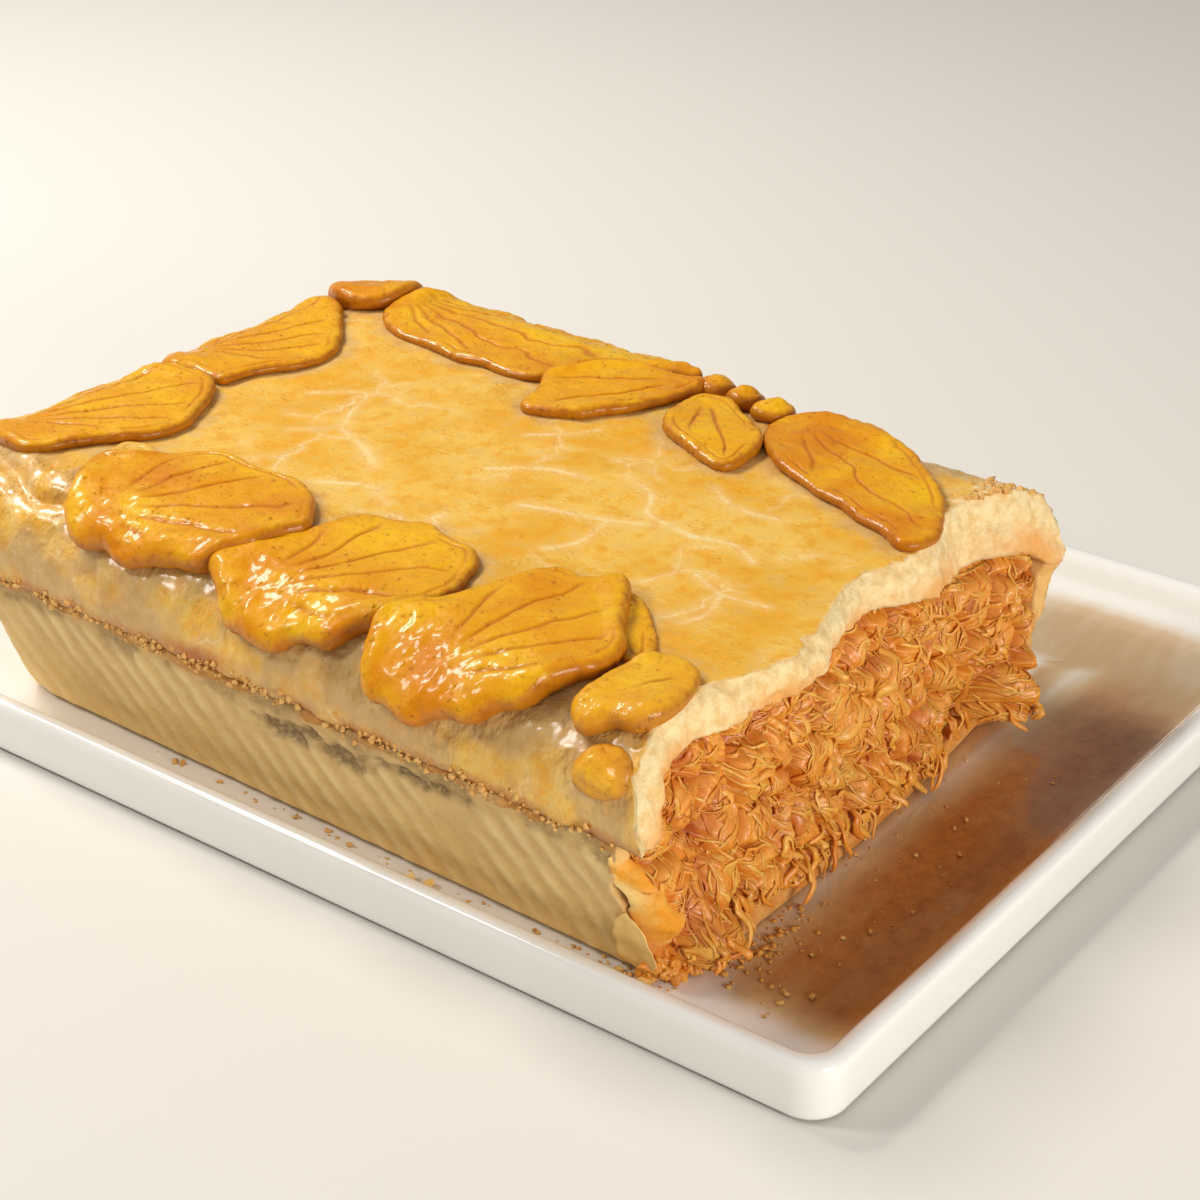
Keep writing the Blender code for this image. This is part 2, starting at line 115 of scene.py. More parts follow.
def noise(p, size, seed=0.0):
    """Gradient noise, about -1 to 1, with features as wide as size.

    Each corner of a cubic lattice has a random slope, and the slopes are blended by 6t^5 - 15t^4 + 10t^3.
    """
    q = np.asarray(p, float) / size + seed * np.array([7.31, 3.17, 5.53]) + 100.0
    cell = np.floor(q)
    t = q - cell
    blend = t * t * t * (t * (t * 6.0 - 15.0) + 10.0)
    total = np.zeros(q.shape[:-1])
    for corner in np.ndindex(2, 2, 2):
        c = np.array(corner, float)
        key = (cell + c) @ np.array([127.1, 311.7, 74.7])
        turn = np.sin(key) * 43758.5453
        rise = np.sin(key * 1.7 + 4.1) * 24634.6345
        turn = 2.0 * np.pi * (turn - np.floor(turn))
        up = 2.0 * (rise - np.floor(rise)) - 1.0
        flat = np.sqrt(np.maximum(1.0 - up * up, 0.0))
        slope = np.stack([flat * np.cos(turn), flat * np.sin(turn), up], axis=-1)
        share = np.prod(np.where(c > 0.5, blend, 1.0 - blend), axis=-1)
        total += share * np.sum(slope * (t - c), axis=-1)
    return 1.6 * total


def rough(p, size, octaves=3, seed=0.0, fall=0.5):
    """Octaves of noise: the sum of fall^k * noise at size / 2^k."""
    total = np.zeros(np.asarray(p).shape[:-1])
    for k in range(octaves):
        total += fall**k * noise(p, size / 2.0**k, seed + 11.0 * k)
    return total


def ease(t):
    """0 to 1 with a soft start and end: 3t^2 - 2t^3."""
    t = np.clip(t, 0.0, 1.0)
    return t * t * (3.0 - 2.0 * t)


def hill(value, middle, width):
    """A bell: exp(-((value - middle) / width)^2)."""
    return np.exp(-(((value - middle) / width) ** 2))


def flat_place(x, y):
    """Places on the laid-flat lid as points, for noise."""
    return np.stack([x, y, np.zeros_like(x)], axis=-1)


# %% [markdown]
# ## Where the pie lies
#
# The pie is made square to the axes and then turned a little about a place near its front, because it
# sits askew in the dish. The sizes repeat those of the solids: the outer line of the case at its foot
# and under the lid, and the lid's shoulder, whose section is a rounded step
# h(d) = rise * (1 - (1 - d/w)^p)^(1/p).

# %% The pie's driving sizes and the shape of its lid
FLOOR_TOP = 0.0044  # the dish's floor
GAP = 0.0003  # between solids that touch
FOOT = np.array([-0.1025, -0.1032, 0.0462, 0.022])  # the case's foot: left, near, far, corner radius
SEAM = np.array([-0.1162, -0.1163, 0.0610, 0.028])  # the same where the lid sits
SEAM_HEIGHT = 0.0468
CRUST = 0.0050  # the case's thickness
LID_OUT = 0.0008  # the lid stands out past the case
LID_RISE = 0.0240
SHOULDER = 0.0300  # how far in the shoulder's curve runs
SHOULDER_POWER = 2.4
LID_THICK = 0.0095
LID_EXTRA_FAR = 0.0070  # the lid is thicker at its far side
CUT = 0.1210  # X of the cut end
TURN = math.radians(-1.35)
PIVOT = np.array([-0.085, -0.110])
LID_LINE = SEAM + np.array([-1.0, -1.0, 1.0, 1.0]) * LID_OUT
SEAT = SEAM_HEIGHT + GAP


def into_dish(p):
    """Turns points of the pie about the pivot: pivot + R(turn) (point - pivot)."""
    p = np.array(p, float)
    c, s = math.cos(TURN), math.sin(TURN)
    dx, dy = p[..., 0] - PIVOT[0], p[..., 1] - PIVOT[1]
    p[..., 0] = PIVOT[0] + c * dx - s * dy
    p[..., 1] = PIVOT[1] + s * dx + c * dy
    return p


def lid_depth(x, y):
    """How far inside the lid's rounded outline a place is: radius - |q+| - min(max(q), 0)."""
    left, near, far, corner = LID_LINE
    from_end = corner - (x - left)
    from_side = corner - np.minimum(y - near, far - y)
    outside = np.hypot(np.maximum(from_end, 0.0), np.maximum(from_side, 0.0))
    return corner - outside - np.minimum(np.maximum(from_end, from_side), 0.0)


def lid_top(x, y):
    """The lid's height: seat + (rise + swell) * (1 - (1 - d/w)^p)^(1/p)."""
    t = 1.0 - np.clip(lid_depth(x, y), 0.0, SHOULDER) / SHOULDER
    swell = 0.0010 * np.sin(31.0 * x + 0.6) * np.sin(27.0 * y + 1.9)
    return SEAT + (LID_RISE + swell) * (1.0 - t**SHOULDER_POWER) ** (1.0 / SHOULDER_POWER)


def lid_under(x, y):
    """The lid's underside: flat on the case's rim, then a thickness below the top."""
    ramp = ease((lid_depth(x, y) - 0.0065) / 0.0050)
    thick = LID_THICK + LID_EXTRA_FAR * ease((y + 0.020) / 0.050)
    return SEAT + np.maximum(lid_top(x, y) - thick - SEAT, 0.0) * ramp


# The shoulder's section as many short steps: depth inwards, rise, and the length run along the curve
ARC_DEPTH = SHOULDER * np.linspace(0.0, 1.0, 4001) ** 2
ARC_RISE = LID_RISE * (1.0 - (1.0 - ARC_DEPTH / SHOULDER) ** SHOULDER_POWER) ** (1.0 / SHOULDER_POWER)
ARC_LENGTH = np.concatenate([[0.0], np.cumsum(np.hypot(np.diff(ARC_DEPTH), np.diff(ARC_RISE)))])
# The seam's depth on the laid-flat lid is below 0, as the shoulder unrolls outwards
EDGE = SHOULDER - ARC_LENGTH[-1]
print(f"the shoulder is {1000 * ARC_LENGTH[-1]:.1f} mm long over its curve")


SLOPE_STEP = 0.0004  # how far to each side of a place the shoulder's slope is measured


def drape(x, y, lift):
    """Wraps laid-flat places over the lid, and raises them by lift, square to its surface.

    Past the shoulder's start, a length on the flat becomes the same length along the shoulder's curve.
    """
    step = 0.00005
    depth = lid_depth(x, y)
    inward = np.stack([
        lid_depth(x + step, y) - lid_depth(x - step, y),
        lid_depth(x, y + step) - lid_depth(x, y - step),
    ], axis=-1)
    inward /= np.linalg.norm(inward, axis=-1, keepdims=True) + 1e-12
    along = ARC_LENGTH[-1] - (SHOULDER - depth)
    true_depth = np.where(depth < SHOULDER, np.interp(along, ARC_LENGTH, ARC_DEPTH), depth)
    px = x + inward[..., 0] * (true_depth - depth)
    py = y + inward[..., 1] * (true_depth - depth)
    before, after = along - SLOPE_STEP, along + SLOPE_STEP
    across = np.interp(after, ARC_LENGTH, ARC_DEPTH) - np.interp(before, ARC_LENGTH, ARC_DEPTH)
    up = np.interp(after, ARC_LENGTH, ARC_RISE) - np.interp(before, ARC_LENGTH, ARC_RISE)
    size = np.hypot(across, up) + 1e-12
    on_top = depth >= SHOULDER
    lean = np.where(on_top, 0.0, up / size)
    rise = np.where(on_top, 1.0, across / size)
    return np.stack([
        px - inward[..., 0] * lean * lift,
        py - inward[..., 1] * lean * lift,
        lid_top(px, py) + rise * lift,
    ], axis=-1)


# %% [markdown]
# ## Leaf outlines
#
# The pastry leaves were cut from thin dough and laid over the lid before baking. Each outline is given
# in millimetres as if the lid's dough lay flat, with its lobes, its thickness, and the point that its
# scored veins fan out from with their direction. The drape above bends them down over the shoulder.

# %% Outlines of the leaves, laid flat
LEAVES = {
    # name: (outline, thickness, vein origin, vein fan's direction and half width in degrees, browning)
    "leaf_near_left": (
        [(-61, -107), (-66, -99), (-70, -90), (-63, -85), (-57, -78), (-50, -71), (-43, -68), (-33, -70),
         (-24, -68), (-16, -69), (-8, -74), (-4, -80), (1, -85), (-2, -92), (-3, -99), (-8, -106),
         (-11, -110),
         (-23, -112), (-35, -116), (-41, -113), (-49, -116), (-58, -111)],
        6.0, (-46, -108), (48, 62), 0.75),
    "leaf_near_middle": (
        [(-11, -108), (-8, -100), (-4, -92), (0, -84), (3, -74), (7, -69), (13, -69), (22, -65), (30, -68),
         (38, -68), (44, -73), (47, -80), (50, -89), (47, -97), (44, -105), (38, -109), (34, -115),
         (25, -115),
         (19, -120), (10, -119), (2, -118), (-3, -112)],
        5.5, (10, -110), (52, 58), 0.45),
    "leaf_near_right": (
        [(42, -105), (46, -98), (51, -93), (53, -85), (56, -78), (59, -70), (64, -65), (71, -66), (77, -60),
         (82, -64), (88, -73), (92, -80), (98, -86), (99, -95), (94, -103), (90, -111), (84, -113),
         (79, -118),
         (71, -118), (65, -122.5), (57, -120), (50, -120.5), (46, -114)],
        7.0, (66, -113), (52, 60), 0.60),
    "leaf_near_small": (
        [(102, -110), (99, -106), (100, -99), (101, -91), (104, -84), (109, -81), (115, -83), (119, -88),
         (121, -94), (121, -101), (117, -107), (111, -108), (107, -111.5)],
        4.5, (105, -106), (60, 55), 0.35),
    "leaf_left_near": (
        [(-114, -88), (-118, -76), (-117, -62), (-115, -48), (-105, -37), (-94, -33), (-84, -35), (-76, -46),
         (-73, -52), (-69, -59), (-70, -70), (-76, -78), (-82, -87), (-88, -97), (-101, -96)],
        5.0, (-104, -88), (62, 45), 0.50),
    "leaf_left_far": (
        [(-114, -26), (-118, -12), (-119, 4), (-117, 18), (-111, 30), (-100, 31), (-93, 24), (-87, 18),
         (-80, 10),
         (-75, 2), (-75, -8), (-80, -17), (-84, -25), (-84, -33), (-94, -32), (-104, -35)],
        5.0, (-108, -24), (62, 42), 0.50),
    "leaf_far_corner": (
        [(-111, 38), (-110, 50), (-99, 57), (-89, 55), (-86, 44), (-88, 36), (-94, 31), (-103, 32)],
        7.0, (-112, 34), (40, 40), 0.70),
    "leaf_far_long": (
        [(-87, 42), (-84, 31), (-75, 24), (-65, 22), (-56, 22), (-46, 19), (-38, 21), (-30, 19), (-20, 20),
         (-14, 23), (-8, 33), (0, 41), (9, 46), (19, 50), (8, 57), (-10, 61), (-40, 62), (-68, 60),
         (-83, 54)],
        5.5, (-90, 44), (-8, 26), 0.65),
    "leaf_far_pointed": (
        [(-8, 3), (-11, 14), (-16, 23), (-14, 31), (-9, 40), (2, 44), (12, 45), (22, 46), (22, 34), (17, 19),
         (12, 12), (9, 7), (0, 3)],
        5.0, (20, 44), (-118, 30), 0.45),
    "leaf_far_right": (
        [(55, 26), (51, 37), (54, 45), (64, 49), (76, 48), (90, 43), (102, 34), (111, 25), (118, 13),
         (121, 4),
         (116, -4), (108, 1), (99, 3), (91, 7), (84, 8), (76, 12), (69, 14), (62, 19)],
        6.0, (58, 38), (-30, 22), 0.95),
    "diamond": (
        [(30, 16), (26, 25), (26, 38), (35, 40), (43, 35), (51, 30), (58, 22), (60, 8), (56, 4), (47, 7),
         (38, 11)],
        5.0, (28, 38), (-45, 20), 0.35),
    "stem_strip": (
        [(76, -66), (82, -62), (92, -69), (101, -79), (105, -87), (97, -88), (85, -75)],
        3.5, (78, -64), (-45, 8), 0.1),
    "dough_scrap": (
        [(-73, -84), (-74, -77), (-67, -74), (-58, -79), (-61, -86), (-69, -88)],
        3.0, (-73, -84), (30, 5), 0.0),
    "button": (
        [(106, -118), (108, -113), (113, -110.5), (118, -111.5), (120.5, -115.5), (119.5, -120),
         (114.5, -122.2),
         (108.5, -121.6)],
        6.0, (108, -120), (45, 5), 0.25),
    "bud_left": (
        [(18, 49), (22, 54), (28, 53), (30, 48), (27, 44), (21, 44)],
        6.5, (18, 46), (45, 5), 0.5),
    "bud_middle": (
        [(30, 46), (33, 51), (39, 50), (41, 45), (37, 41), (32, 42)],
        6.5, (30, 44), (45, 5), 0.5),
    "bud_right": (
        [(41, 43), (44, 48), (50, 48), (53, 43), (49, 38), (43, 38)],
        6.0, (41, 40), (45, 5), 0.55),
}
# Leaves that lie partly over a neighbour. The first three climb over none of each other
UPPER = ["leaf_near_left", "leaf_near_right", "leaf_near_small", "leaf_far_pointed", "leaf_far_corner",
         "diamond", "bud_middle", "leaf_left_near"]


def closed_curve(knots, count):
    """A closed Catmull-Rom curve through the knots, in metres, as count points evenly spaced along it."""
    k = np.array(knots, float) * MM
    a, b, c, d = (np.roll(k, s, axis=0)[:, None] for s in (1, 0, -1, -2))
    t = np.linspace(0.0, 1.0, 24, endpoint=False)[None, :, None]
    fine = 0.5 * (2 * b + (c - a) * t + (2 * a - 5 * b + 4 * c - d) * t**2 + (3 * b - a - 3 * c + d) * t**3)
    fine = fine.reshape(-1, 2)
    loop = np.vstack([fine, fine[:1]])
    length = np.concatenate([[0.0], np.cumsum(np.linalg.norm(np.diff(loop, axis=0), axis=1))])
    even = np.linspace(0.0, length[-1], count, endpoint=False)
    return np.stack([np.interp(even, length, loop[:, 0]), np.interp(even, length, loop[:, 1])], axis=1)


def distance_to(outline, x, y):
    """Signed distance of places to a closed outline, below 0 inside.

    It is the distance to the nearest segment; the count of segments crossed on the way out gives the sign.
    """
    p = np.stack([x, y], axis=-1).reshape(-1, 2)
    best = np.full(len(p), 9.0)
    inside = np.zeros(len(p), bool)
    for a, b in zip(outline, np.roll(outline, -1, axis=0)):
        ab = b - a
        t = np.clip(((p - a) @ ab) / (ab @ ab), 0.0, 1.0)
        best = np.minimum(best, np.hypot(*(p - a - t[:, None] * ab).T))
        crosses = (a[1] > p[:, 1]) != (b[1] > p[:, 1])
        rise = np.where(abs(ab[1]) < 1e-12, 1e-12, ab[1])
        inside ^= crosses & (p[:, 0] < a[0] + ab[0] * (p[:, 1] - a[1]) / rise)
    return np.where(inside, -best, best).reshape(np.shape(x))


OUTLINES = {name: closed_curve(leaf[0], 72) for name, leaf in LEAVES.items()}
print("leaves:", len(OUTLINES))

# %% [markdown]
# ## Finishes
#
# Every finish is built from nodes on Object coordinates, so that a pattern keeps its size in metres.
# What depends on the shape, such as the egg wash thinning on a crack or the crumb of a broken edge, is
# worked out with the surface and stored on its points, and the finish reads it. Bump adds only what is
# finer than the mesh: pores, tiny blisters, fibres.

# %% A small kit for building a finish
def paint(red, green, blue):
    """A colour from 0-255 display values as linear light: ((v + 0.055) / 1.055)^2.4, or v / 12.92."""
    v = np.array([red, green, blue]) / 255.0
    linear = np.where(v > 0.04045, ((v + 0.055) / 1.055) ** 2.4, v / 12.92)
    return (*(float(c) for c in linear), 1.0)


def grey(value):
    """One number as a colour, for a mix that feeds a plain value such as roughness."""
    return (value, value, value, 1.0)


class Finish:
    """A material being built. Each method adds a node and gives back its output.

    Sizes are in metres: a noise or a cell pattern repeats about once in its size.
    """

    def __init__(self, name, roughness=0.5, coat=0.0, coat_roughness=0.1, specular=0.5, subsurface=0.0):
        """The shader's plain values. place is the object's own coordinates, which the patterns read."""
        self.material = bpy.data.materials.new(name)
        self.material.use_nodes = True
        self.tree = self.material.node_tree
        self.shader = self.tree.nodes["Principled BSDF"]
        self.shader.inputs["Roughness"].default_value = roughness
        self.shader.inputs["Coat Weight"].default_value = coat
        self.shader.inputs["Coat Roughness"].default_value = coat_roughness
        self.shader.inputs["Specular IOR Level"].default_value = specular
        self.shader.inputs["Subsurface Weight"].default_value = subsurface
        self.shader.inputs["Subsurface Radius"].default_value = (0.0030, 0.0014, 0.0006)
        self.shader.inputs["Subsurface Scale"].default_value = 1.0
        self.place = self.node("ShaderNodeTexCoord").outputs["Object"]

    def feed(self, socket, value):
        """Links an output to a socket, or sets the socket to a number."""
        if isinstance(value, bpy.types.NodeSocket):
            self.tree.links.new(value, socket)
        else:
            socket.default_value = value

    def node(self, kind, inputs=None, **settings):
        """Adds a node, with its settings and its inputs."""
        made = self.tree.nodes.new(kind)
        for key, value in settings.items():
            setattr(made, key, value)
        for key, value in (inputs or {}).items():
            self.feed(made.inputs[key], value)
        return made

    def stretched(self, scale, turn=0.0):
        """The place, turned about Z and scaled by an amount on each axis."""
        inputs = {"Vector": self.place, "Scale": scale, "Rotation": (0, 0, turn)}
        return self.node("ShaderNodeMapping", inputs).outputs[0]

    def noise(self, size, detail=3.0, rough=0.55, where=None, twist=0.0):
        """Layered noise of 0 to 1 whose largest swells are about this size."""
        inputs = {
            "Vector": where or self.place, "Scale": 1.0 / size,
            "Detail": detail, "Roughness": rough, "Distortion": twist,
        }
        return self.node("ShaderNodeTexNoise", inputs).outputs[0]

    def cells(self, size, feature="F1", where=None):
        """Distance to the nearest point of a scatter with this spacing."""
        inputs = {"Vector": where or self.place, "Scale": 1.0 / size}
        return self.node("ShaderNodeTexVoronoi", inputs, feature=feature).outputs["Distance"]

    def stored(self, name):
        """A value that the shape keeps on each of its points."""
        return self.node("ShaderNodeAttribute", attribute_name=name).outputs["Fac"]

    def maths(self, operation, a, b=0.0):
        """One sum on two values, named as the node names it."""
        return self.node("ShaderNodeMath", {0: a, 1: b}, operation=operation).outputs[0]

    def times(self, a, b):
        """a times b."""
        return self.maths("MULTIPLY", a, b)

    def larger(self, a, b):
        """The larger of a and b."""
        return self.maths("MAXIMUM", a, b)

    def step(self, value, low, high, to_low=0.0, to_high=1.0):
        """A soft step from to_low to to_high as value goes from low to high."""
        inputs = {"Value": value, "From Min": low, "From Max": high, "To Min": to_low, "To Max": to_high}
        return self.node("ShaderNodeMapRange", inputs, interpolation_type="SMOOTHSTEP").outputs[0]

    def mix(self, share, a, b):
        """a * (1 - share) + b * share, as a colour."""
        made = self.node("ShaderNodeMix", data_type="RGBA")
        for index, value in ((0, share), (6, a), (7, b)):
            self.feed(made.inputs[index], value)
        return made.outputs[2]

    def bump(self, height, distance, strength=1.0, under=None):
        """A normal bent by the slope of height * distance, on top of the one under it."""
        inputs = {"Height": height, "Distance": distance, "Strength": strength}
        if under is not None:
            inputs["Normal"] = under
        return self.node("ShaderNodeBump", inputs).outputs[0]

    def done(self, colour, roughness=None, normal=None):
        """Joins the results to the shader and gives the material."""
        self.feed(self.shader.inputs["Base Color"], colour)
        if roughness is not None:
            self.feed(self.shader.inputs["Roughness"], roughness)
        if normal is not None:
            self.feed(self.shader.inputs["Normal"], normal)
        return self.material


# %% [markdown]
# The lid's dough is pale where bare, gold where the egg wash lies, and cream and crumbly where it is
# broken. The wash pooled unevenly, so its strength is mottled at three sizes, and hair-fine pale cracks
# run through it. A varnish would look plastic: the shine comes from the wash alone, broken by pores.

# %% Lid dough
def lid_finish():
    """Bare dough under egg wash, then cracks, browning and, where the lid broke, cream crumb."""
    f = Finish("egg_washed_crust", coat_roughness=0.20, specular=0.35)
    wash, brown, crumb = f.stored("wash"), f.stored("brown"), f.stored("crumb")
    stain, crack = f.stored("stain"), f.stored("crack")
    large, medium = f.noise(0.030, 4.0, 0.6), f.noise(0.006, 4.0, 0.65)
    speck = f.noise(0.0011, 2.0, 0.5)
    gold = f.mix(f.step(large, 0.38, 0.64), paint(242, 196, 86), paint(235, 172, 32))
    gold = f.mix(f.step(medium, 0.45, 0.66, 0.0, 0.70), gold, paint(230, 158, 14))
    strewn = f.step(f.noise(0.014, 3.0, 0.6), 0.42, 0.62)
    dots = f.times(f.step(speck, 0.54, 0.64, 0.0, 0.9), strewn)
    gold = f.mix(dots, gold, paint(246, 170, 4))
    bare = f.mix(f.step(medium, 0.35, 0.7), paint(210, 172, 112), paint(196, 152, 84))
    thin = f.times(wash, f.step(medium, 0.22, 0.55, 0.62, 1.0))
    colour = f.mix(thin, bare, gold)
    # The hair cracks are the edges of large cells whose place drifts about
    drift = f.node("ShaderNodeTexNoise", {"Vector": f.place, "Scale": 90.0, "Detail": 3.0}).outputs["Color"]
    bent = f.node("ShaderNodeVectorMath", {0: drift, 3: 0.016}, operation="SCALE").outputs[0]
    bent = f.node("ShaderNodeVectorMath", {0: f.place, 1: bent}, operation="ADD").outputs[0]
    web = f.cells(0.031, "DISTANCE_TO_EDGE", bent)
    gate = f.times(f.step(f.noise(0.026, 2.0), 0.42, 0.60), wash)
    hair = f.times(f.step(web, 0.003, 0.013, 0.60, 0.0), gate)
    haze = f.times(f.step(web, 0.0, 0.11, 0.22, 0.0), gate)
    pale_lines = f.larger(f.times(crack, 0.6), f.larger(hair, haze))
    colour = f.mix(pale_lines, colour, paint(250, 230, 178))
    colour = f.mix(brown, colour, f.mix(medium, paint(206, 122, 24), paint(158, 82, 18)))
    cream = f.mix(f.step(f.noise(0.0035, 5.0, 0.7), 0.35, 0.7), paint(250, 226, 172), paint(232, 192, 124))
    cream = f.mix(stain, cream, f.mix(medium, paint(232, 152, 66), paint(240, 176, 96)))
    colour = f.mix(crumb, colour, cream)
    shine = f.mix(crumb, f.mix(wash, grey(0.62), grey(0.36)), grey(0.85))
    grain = f.bump(f.noise(0.0009, 4.0, 0.7), 0.00030, f.step(crumb, 0.0, 1.0, 0.32, 1.0))
    blister = f.step(f.cells(0.0022, "F1"), 0.05, 0.45, 1.0, 0.0)
    blister = f.times(blister, f.step(f.noise(0.008, 2.0, 0.5), 0.40, 0.62))
    grain = f.bump(blister, 0.00035, 0.55, grain)
    pucker = f.times(f.noise(0.0042, 3.0, 0.6, f.stretched((1.0, 1.0, 0.6))), f.stored("gloss"))
    grain = f.bump(pucker, 0.0015, 1.0, grain)
    wet = f.times(f.stored("gloss"), f.step(medium, 0.3, 0.6, 0.5, 1.0))
    f.feed(f.shader.inputs["Coat Weight"], f.step(wet, 0.0, 1.0, 0.12, 0.75))
    return f.done(colour, shine, grain)


# %% [markdown]
# The case has no wash. Its dough is beige, darker and greyer towards the top under the lid and more
# golden at the foot. Its ribs' crests are painted a little lighter as a painted highlight, and its
# hollows grey as painted shade. The ledge under the lid is brown and rough.

# %% Case dough
def case_finish():
    """Beige, golden at the foot, a painted highlight on rib crests, painted shade in hollows, a brown ledge.
    """
    f = Finish("pale_crust", specular=0.35)
    rib, brown, grey, low, crumb = (f.stored(k) for k in ("rib", "brown", "grey", "low", "crumb"))
    medium, fine = f.noise(0.009, 4.0, 0.6), f.noise(0.0016, 4.0, 0.6)
    # Darker and greyer towards the top, lighter and more golden low down
    colour = f.mix(f.step(low, 0.0, 1.0), paint(214, 176, 116), paint(240, 200, 126))
    colour = f.mix(f.step(medium, 0.35, 0.72, 0.0, 0.7), colour, paint(234, 198, 130))
    # The ribs' crests are painted lighter: a painted highlight
    colour = f.mix(f.times(rib, 0.55), colour, paint(246, 218, 160))
    colour = f.mix(f.step(fine, 0.55, 0.8, 0.0, 0.4), colour, paint(190, 146, 88))
    # The hollows are painted dark grey: painted shade
    colour = f.mix(f.times(grey, f.step(fine, 0.3, 0.6, 0.45, 1.0)), colour, paint(134, 108, 72))
    colour = f.mix(crumb, colour, f.mix(medium, paint(240, 202, 130), paint(226, 170, 92)))
    # The base's broken edge soaked up sauce
    soaked = f.times(f.times(crumb, low), f.step(medium, 0.30, 0.58, 0.45, 1.0))
    colour = f.mix(soaked, colour, f.mix(fine, paint(222, 150, 66), paint(184, 104, 34)))
    colour = f.mix(brown, colour, f.mix(fine, paint(216, 160, 80), paint(178, 112, 44)))
    grain = f.bump(f.noise(0.0010, 5.0, 0.7), 0.00035, 0.55)
    return f.done(colour, f.step(fine, 0.3, 0.7, 0.62, 0.85), grain)


# %% [markdown]
# The leaves took the most wash. They are deep gold, brown on their thin edges and in the scored veins,
# with painted shade darkening the sides of their rims, and a clear gloss that breaks into points of
# light over tiny blisters.

# %% Leaf pastry
def leaf_finish():
    """Deep gold, scorched in places, brown veins and rim, painted shade on the rim's side, a clear gloss."""
    f = Finish("baked_leaf", coat=0.30, coat_roughness=0.10, specular=0.12)
    vein, edge, side, brown = (f.stored(k) for k in ("vein", "edge", "side", "brown"))
    large, medium = f.noise(0.016, 3.0, 0.6), f.noise(0.0035, 4.0, 0.65)
    colour = f.mix(f.step(large, 0.35, 0.68), paint(242, 188, 24), paint(236, 171, 6))
    colour = f.mix(f.step(medium, 0.45, 0.78, 0.0, 0.6), colour, paint(230, 156, 0))
    scorch = f.times(brown, f.step(f.noise(0.020, 3.0, 0.6), 0.30, 0.66))
    colour = f.mix(scorch, colour, f.mix(medium, paint(228, 146, 0), paint(206, 116, 0)))
    freckle = f.step(f.noise(0.0016, 3.0, 0.6), 0.56, 0.70, 0.0, 0.55)
    colour = f.mix(freckle, colour, paint(214, 128, 8))
    colour = f.mix(f.times(vein, 0.75), colour, paint(188, 98, 6))
    rim = f.times(edge, f.step(medium, 0.35, 0.65, 0.05, 0.65))
    colour = f.mix(rim, colour, paint(196, 112, 14))
    # The rim's side is painted dark: painted shade on the rim as it turns down
    side_shade_colour = f.mix(medium, paint(200, 120, 14), paint(142, 70, 4))
    colour = f.mix(f.times(side, 0.85), colour, side_shade_colour)
    colour = f.mix(f.stored("pale"), colour, f.mix(medium, paint(240, 194, 96), paint(228, 170, 62)))
    grain = f.bump(f.noise(0.0011, 4.0, 0.65), 0.00034, 0.75)
    blister = f.times(f.step(f.cells(0.0024), 0.05, 0.40, 1.0, 0.0), f.step(medium, 0.48, 0.62))
    grain = f.bump(blister, 0.0005, 0.9, grain)
    grain = f.bump(f.noise(0.0045, 2.0, 0.5), 0.0008, 0.5, grain)
    return f.done(colour, f.step(medium, 0.3, 0.7, 0.26, 0.44), grain)


# %% [markdown]
# Shredded chicken is pale meat stained by tomato sauce. Each shred has its own tint, stored on its
# points, from deep orange where the sauce sits to pale where the fibre shows. The bed under the shreds
# is darker and wetter. A little light passes into the meat.

# %% Chicken in tomato sauce
def shred_finish():
    """Pale to orange by its tint; red-brown as painted shade where a shred lies low, and in pools of sauce.
    """
    f = Finish("chicken_in_sauce", coat=0.30, coat_roughness=0.22, subsurface=0.22)
    tint, sauce_and_shade = f.stored("tint"), f.stored("sauce_and_shade")
    fine, medium = f.noise(0.0012, 3.0, 0.6), f.noise(0.007, 3.0, 0.6)
    colour = f.mix(f.step(tint, 0.0, 1.0), paint(228, 140, 32), paint(246, 184, 80))
    colour = f.mix(f.step(medium, 0.40, 0.70, 0.0, 0.55), colour, paint(234, 148, 40))
    colour = f.mix(f.step(fine, 0.50, 0.80, 0.0, 0.3), colour, paint(250, 194, 100))
    # Red-brown: painted shade in low places and creases, and pooled sauce
    colour = f.mix(sauce_and_shade, colour, f.mix(fine, paint(188, 90, 24), paint(216, 118, 36)))
    grain = f.bump(f.noise(0.0007, 3.0, 0.6), 0.00025, 0.6)
    return f.done(colour, f.step(fine, 0.3, 0.7, 0.34, 0.55), grain)


def bed_finish():
    """As the shreds, a little darker and wetter, with painted shade in creases and pits, and pools of sauce.
    """
    f = Finish("sauce_bed", coat=0.34, coat_roughness=0.20, subsurface=0.20)
    tint, sauce_and_shade = f.stored("tint"), f.stored("sauce_and_shade")
    fine, medium = f.noise(0.0016, 4.0, 0.65), f.noise(0.009, 3.0, 0.6)
    colour = f.mix(f.step(tint, 0.1, 0.9), paint(222, 132, 30), paint(242, 172, 68))
    colour = f.mix(f.step(medium, 0.36, 0.66, 0.0, 0.6), colour, paint(230, 142, 34))
    colour = f.mix(f.step(fine, 0.52, 0.80, 0.0, 0.4), colour, paint(250, 190, 92))
    # Red-brown: painted shade in creases and pits, and pooled sauce
    colour = f.mix(sauce_and_shade, colour, f.mix(fine, paint(166, 72, 20), paint(204, 106, 34)))
    grain = f.bump(f.noise(0.0009, 4.0, 0.7), 0.0003, 0.8)
    return f.done(colour, f.step(fine, 0.3, 0.7, 0.30, 0.55), grain)
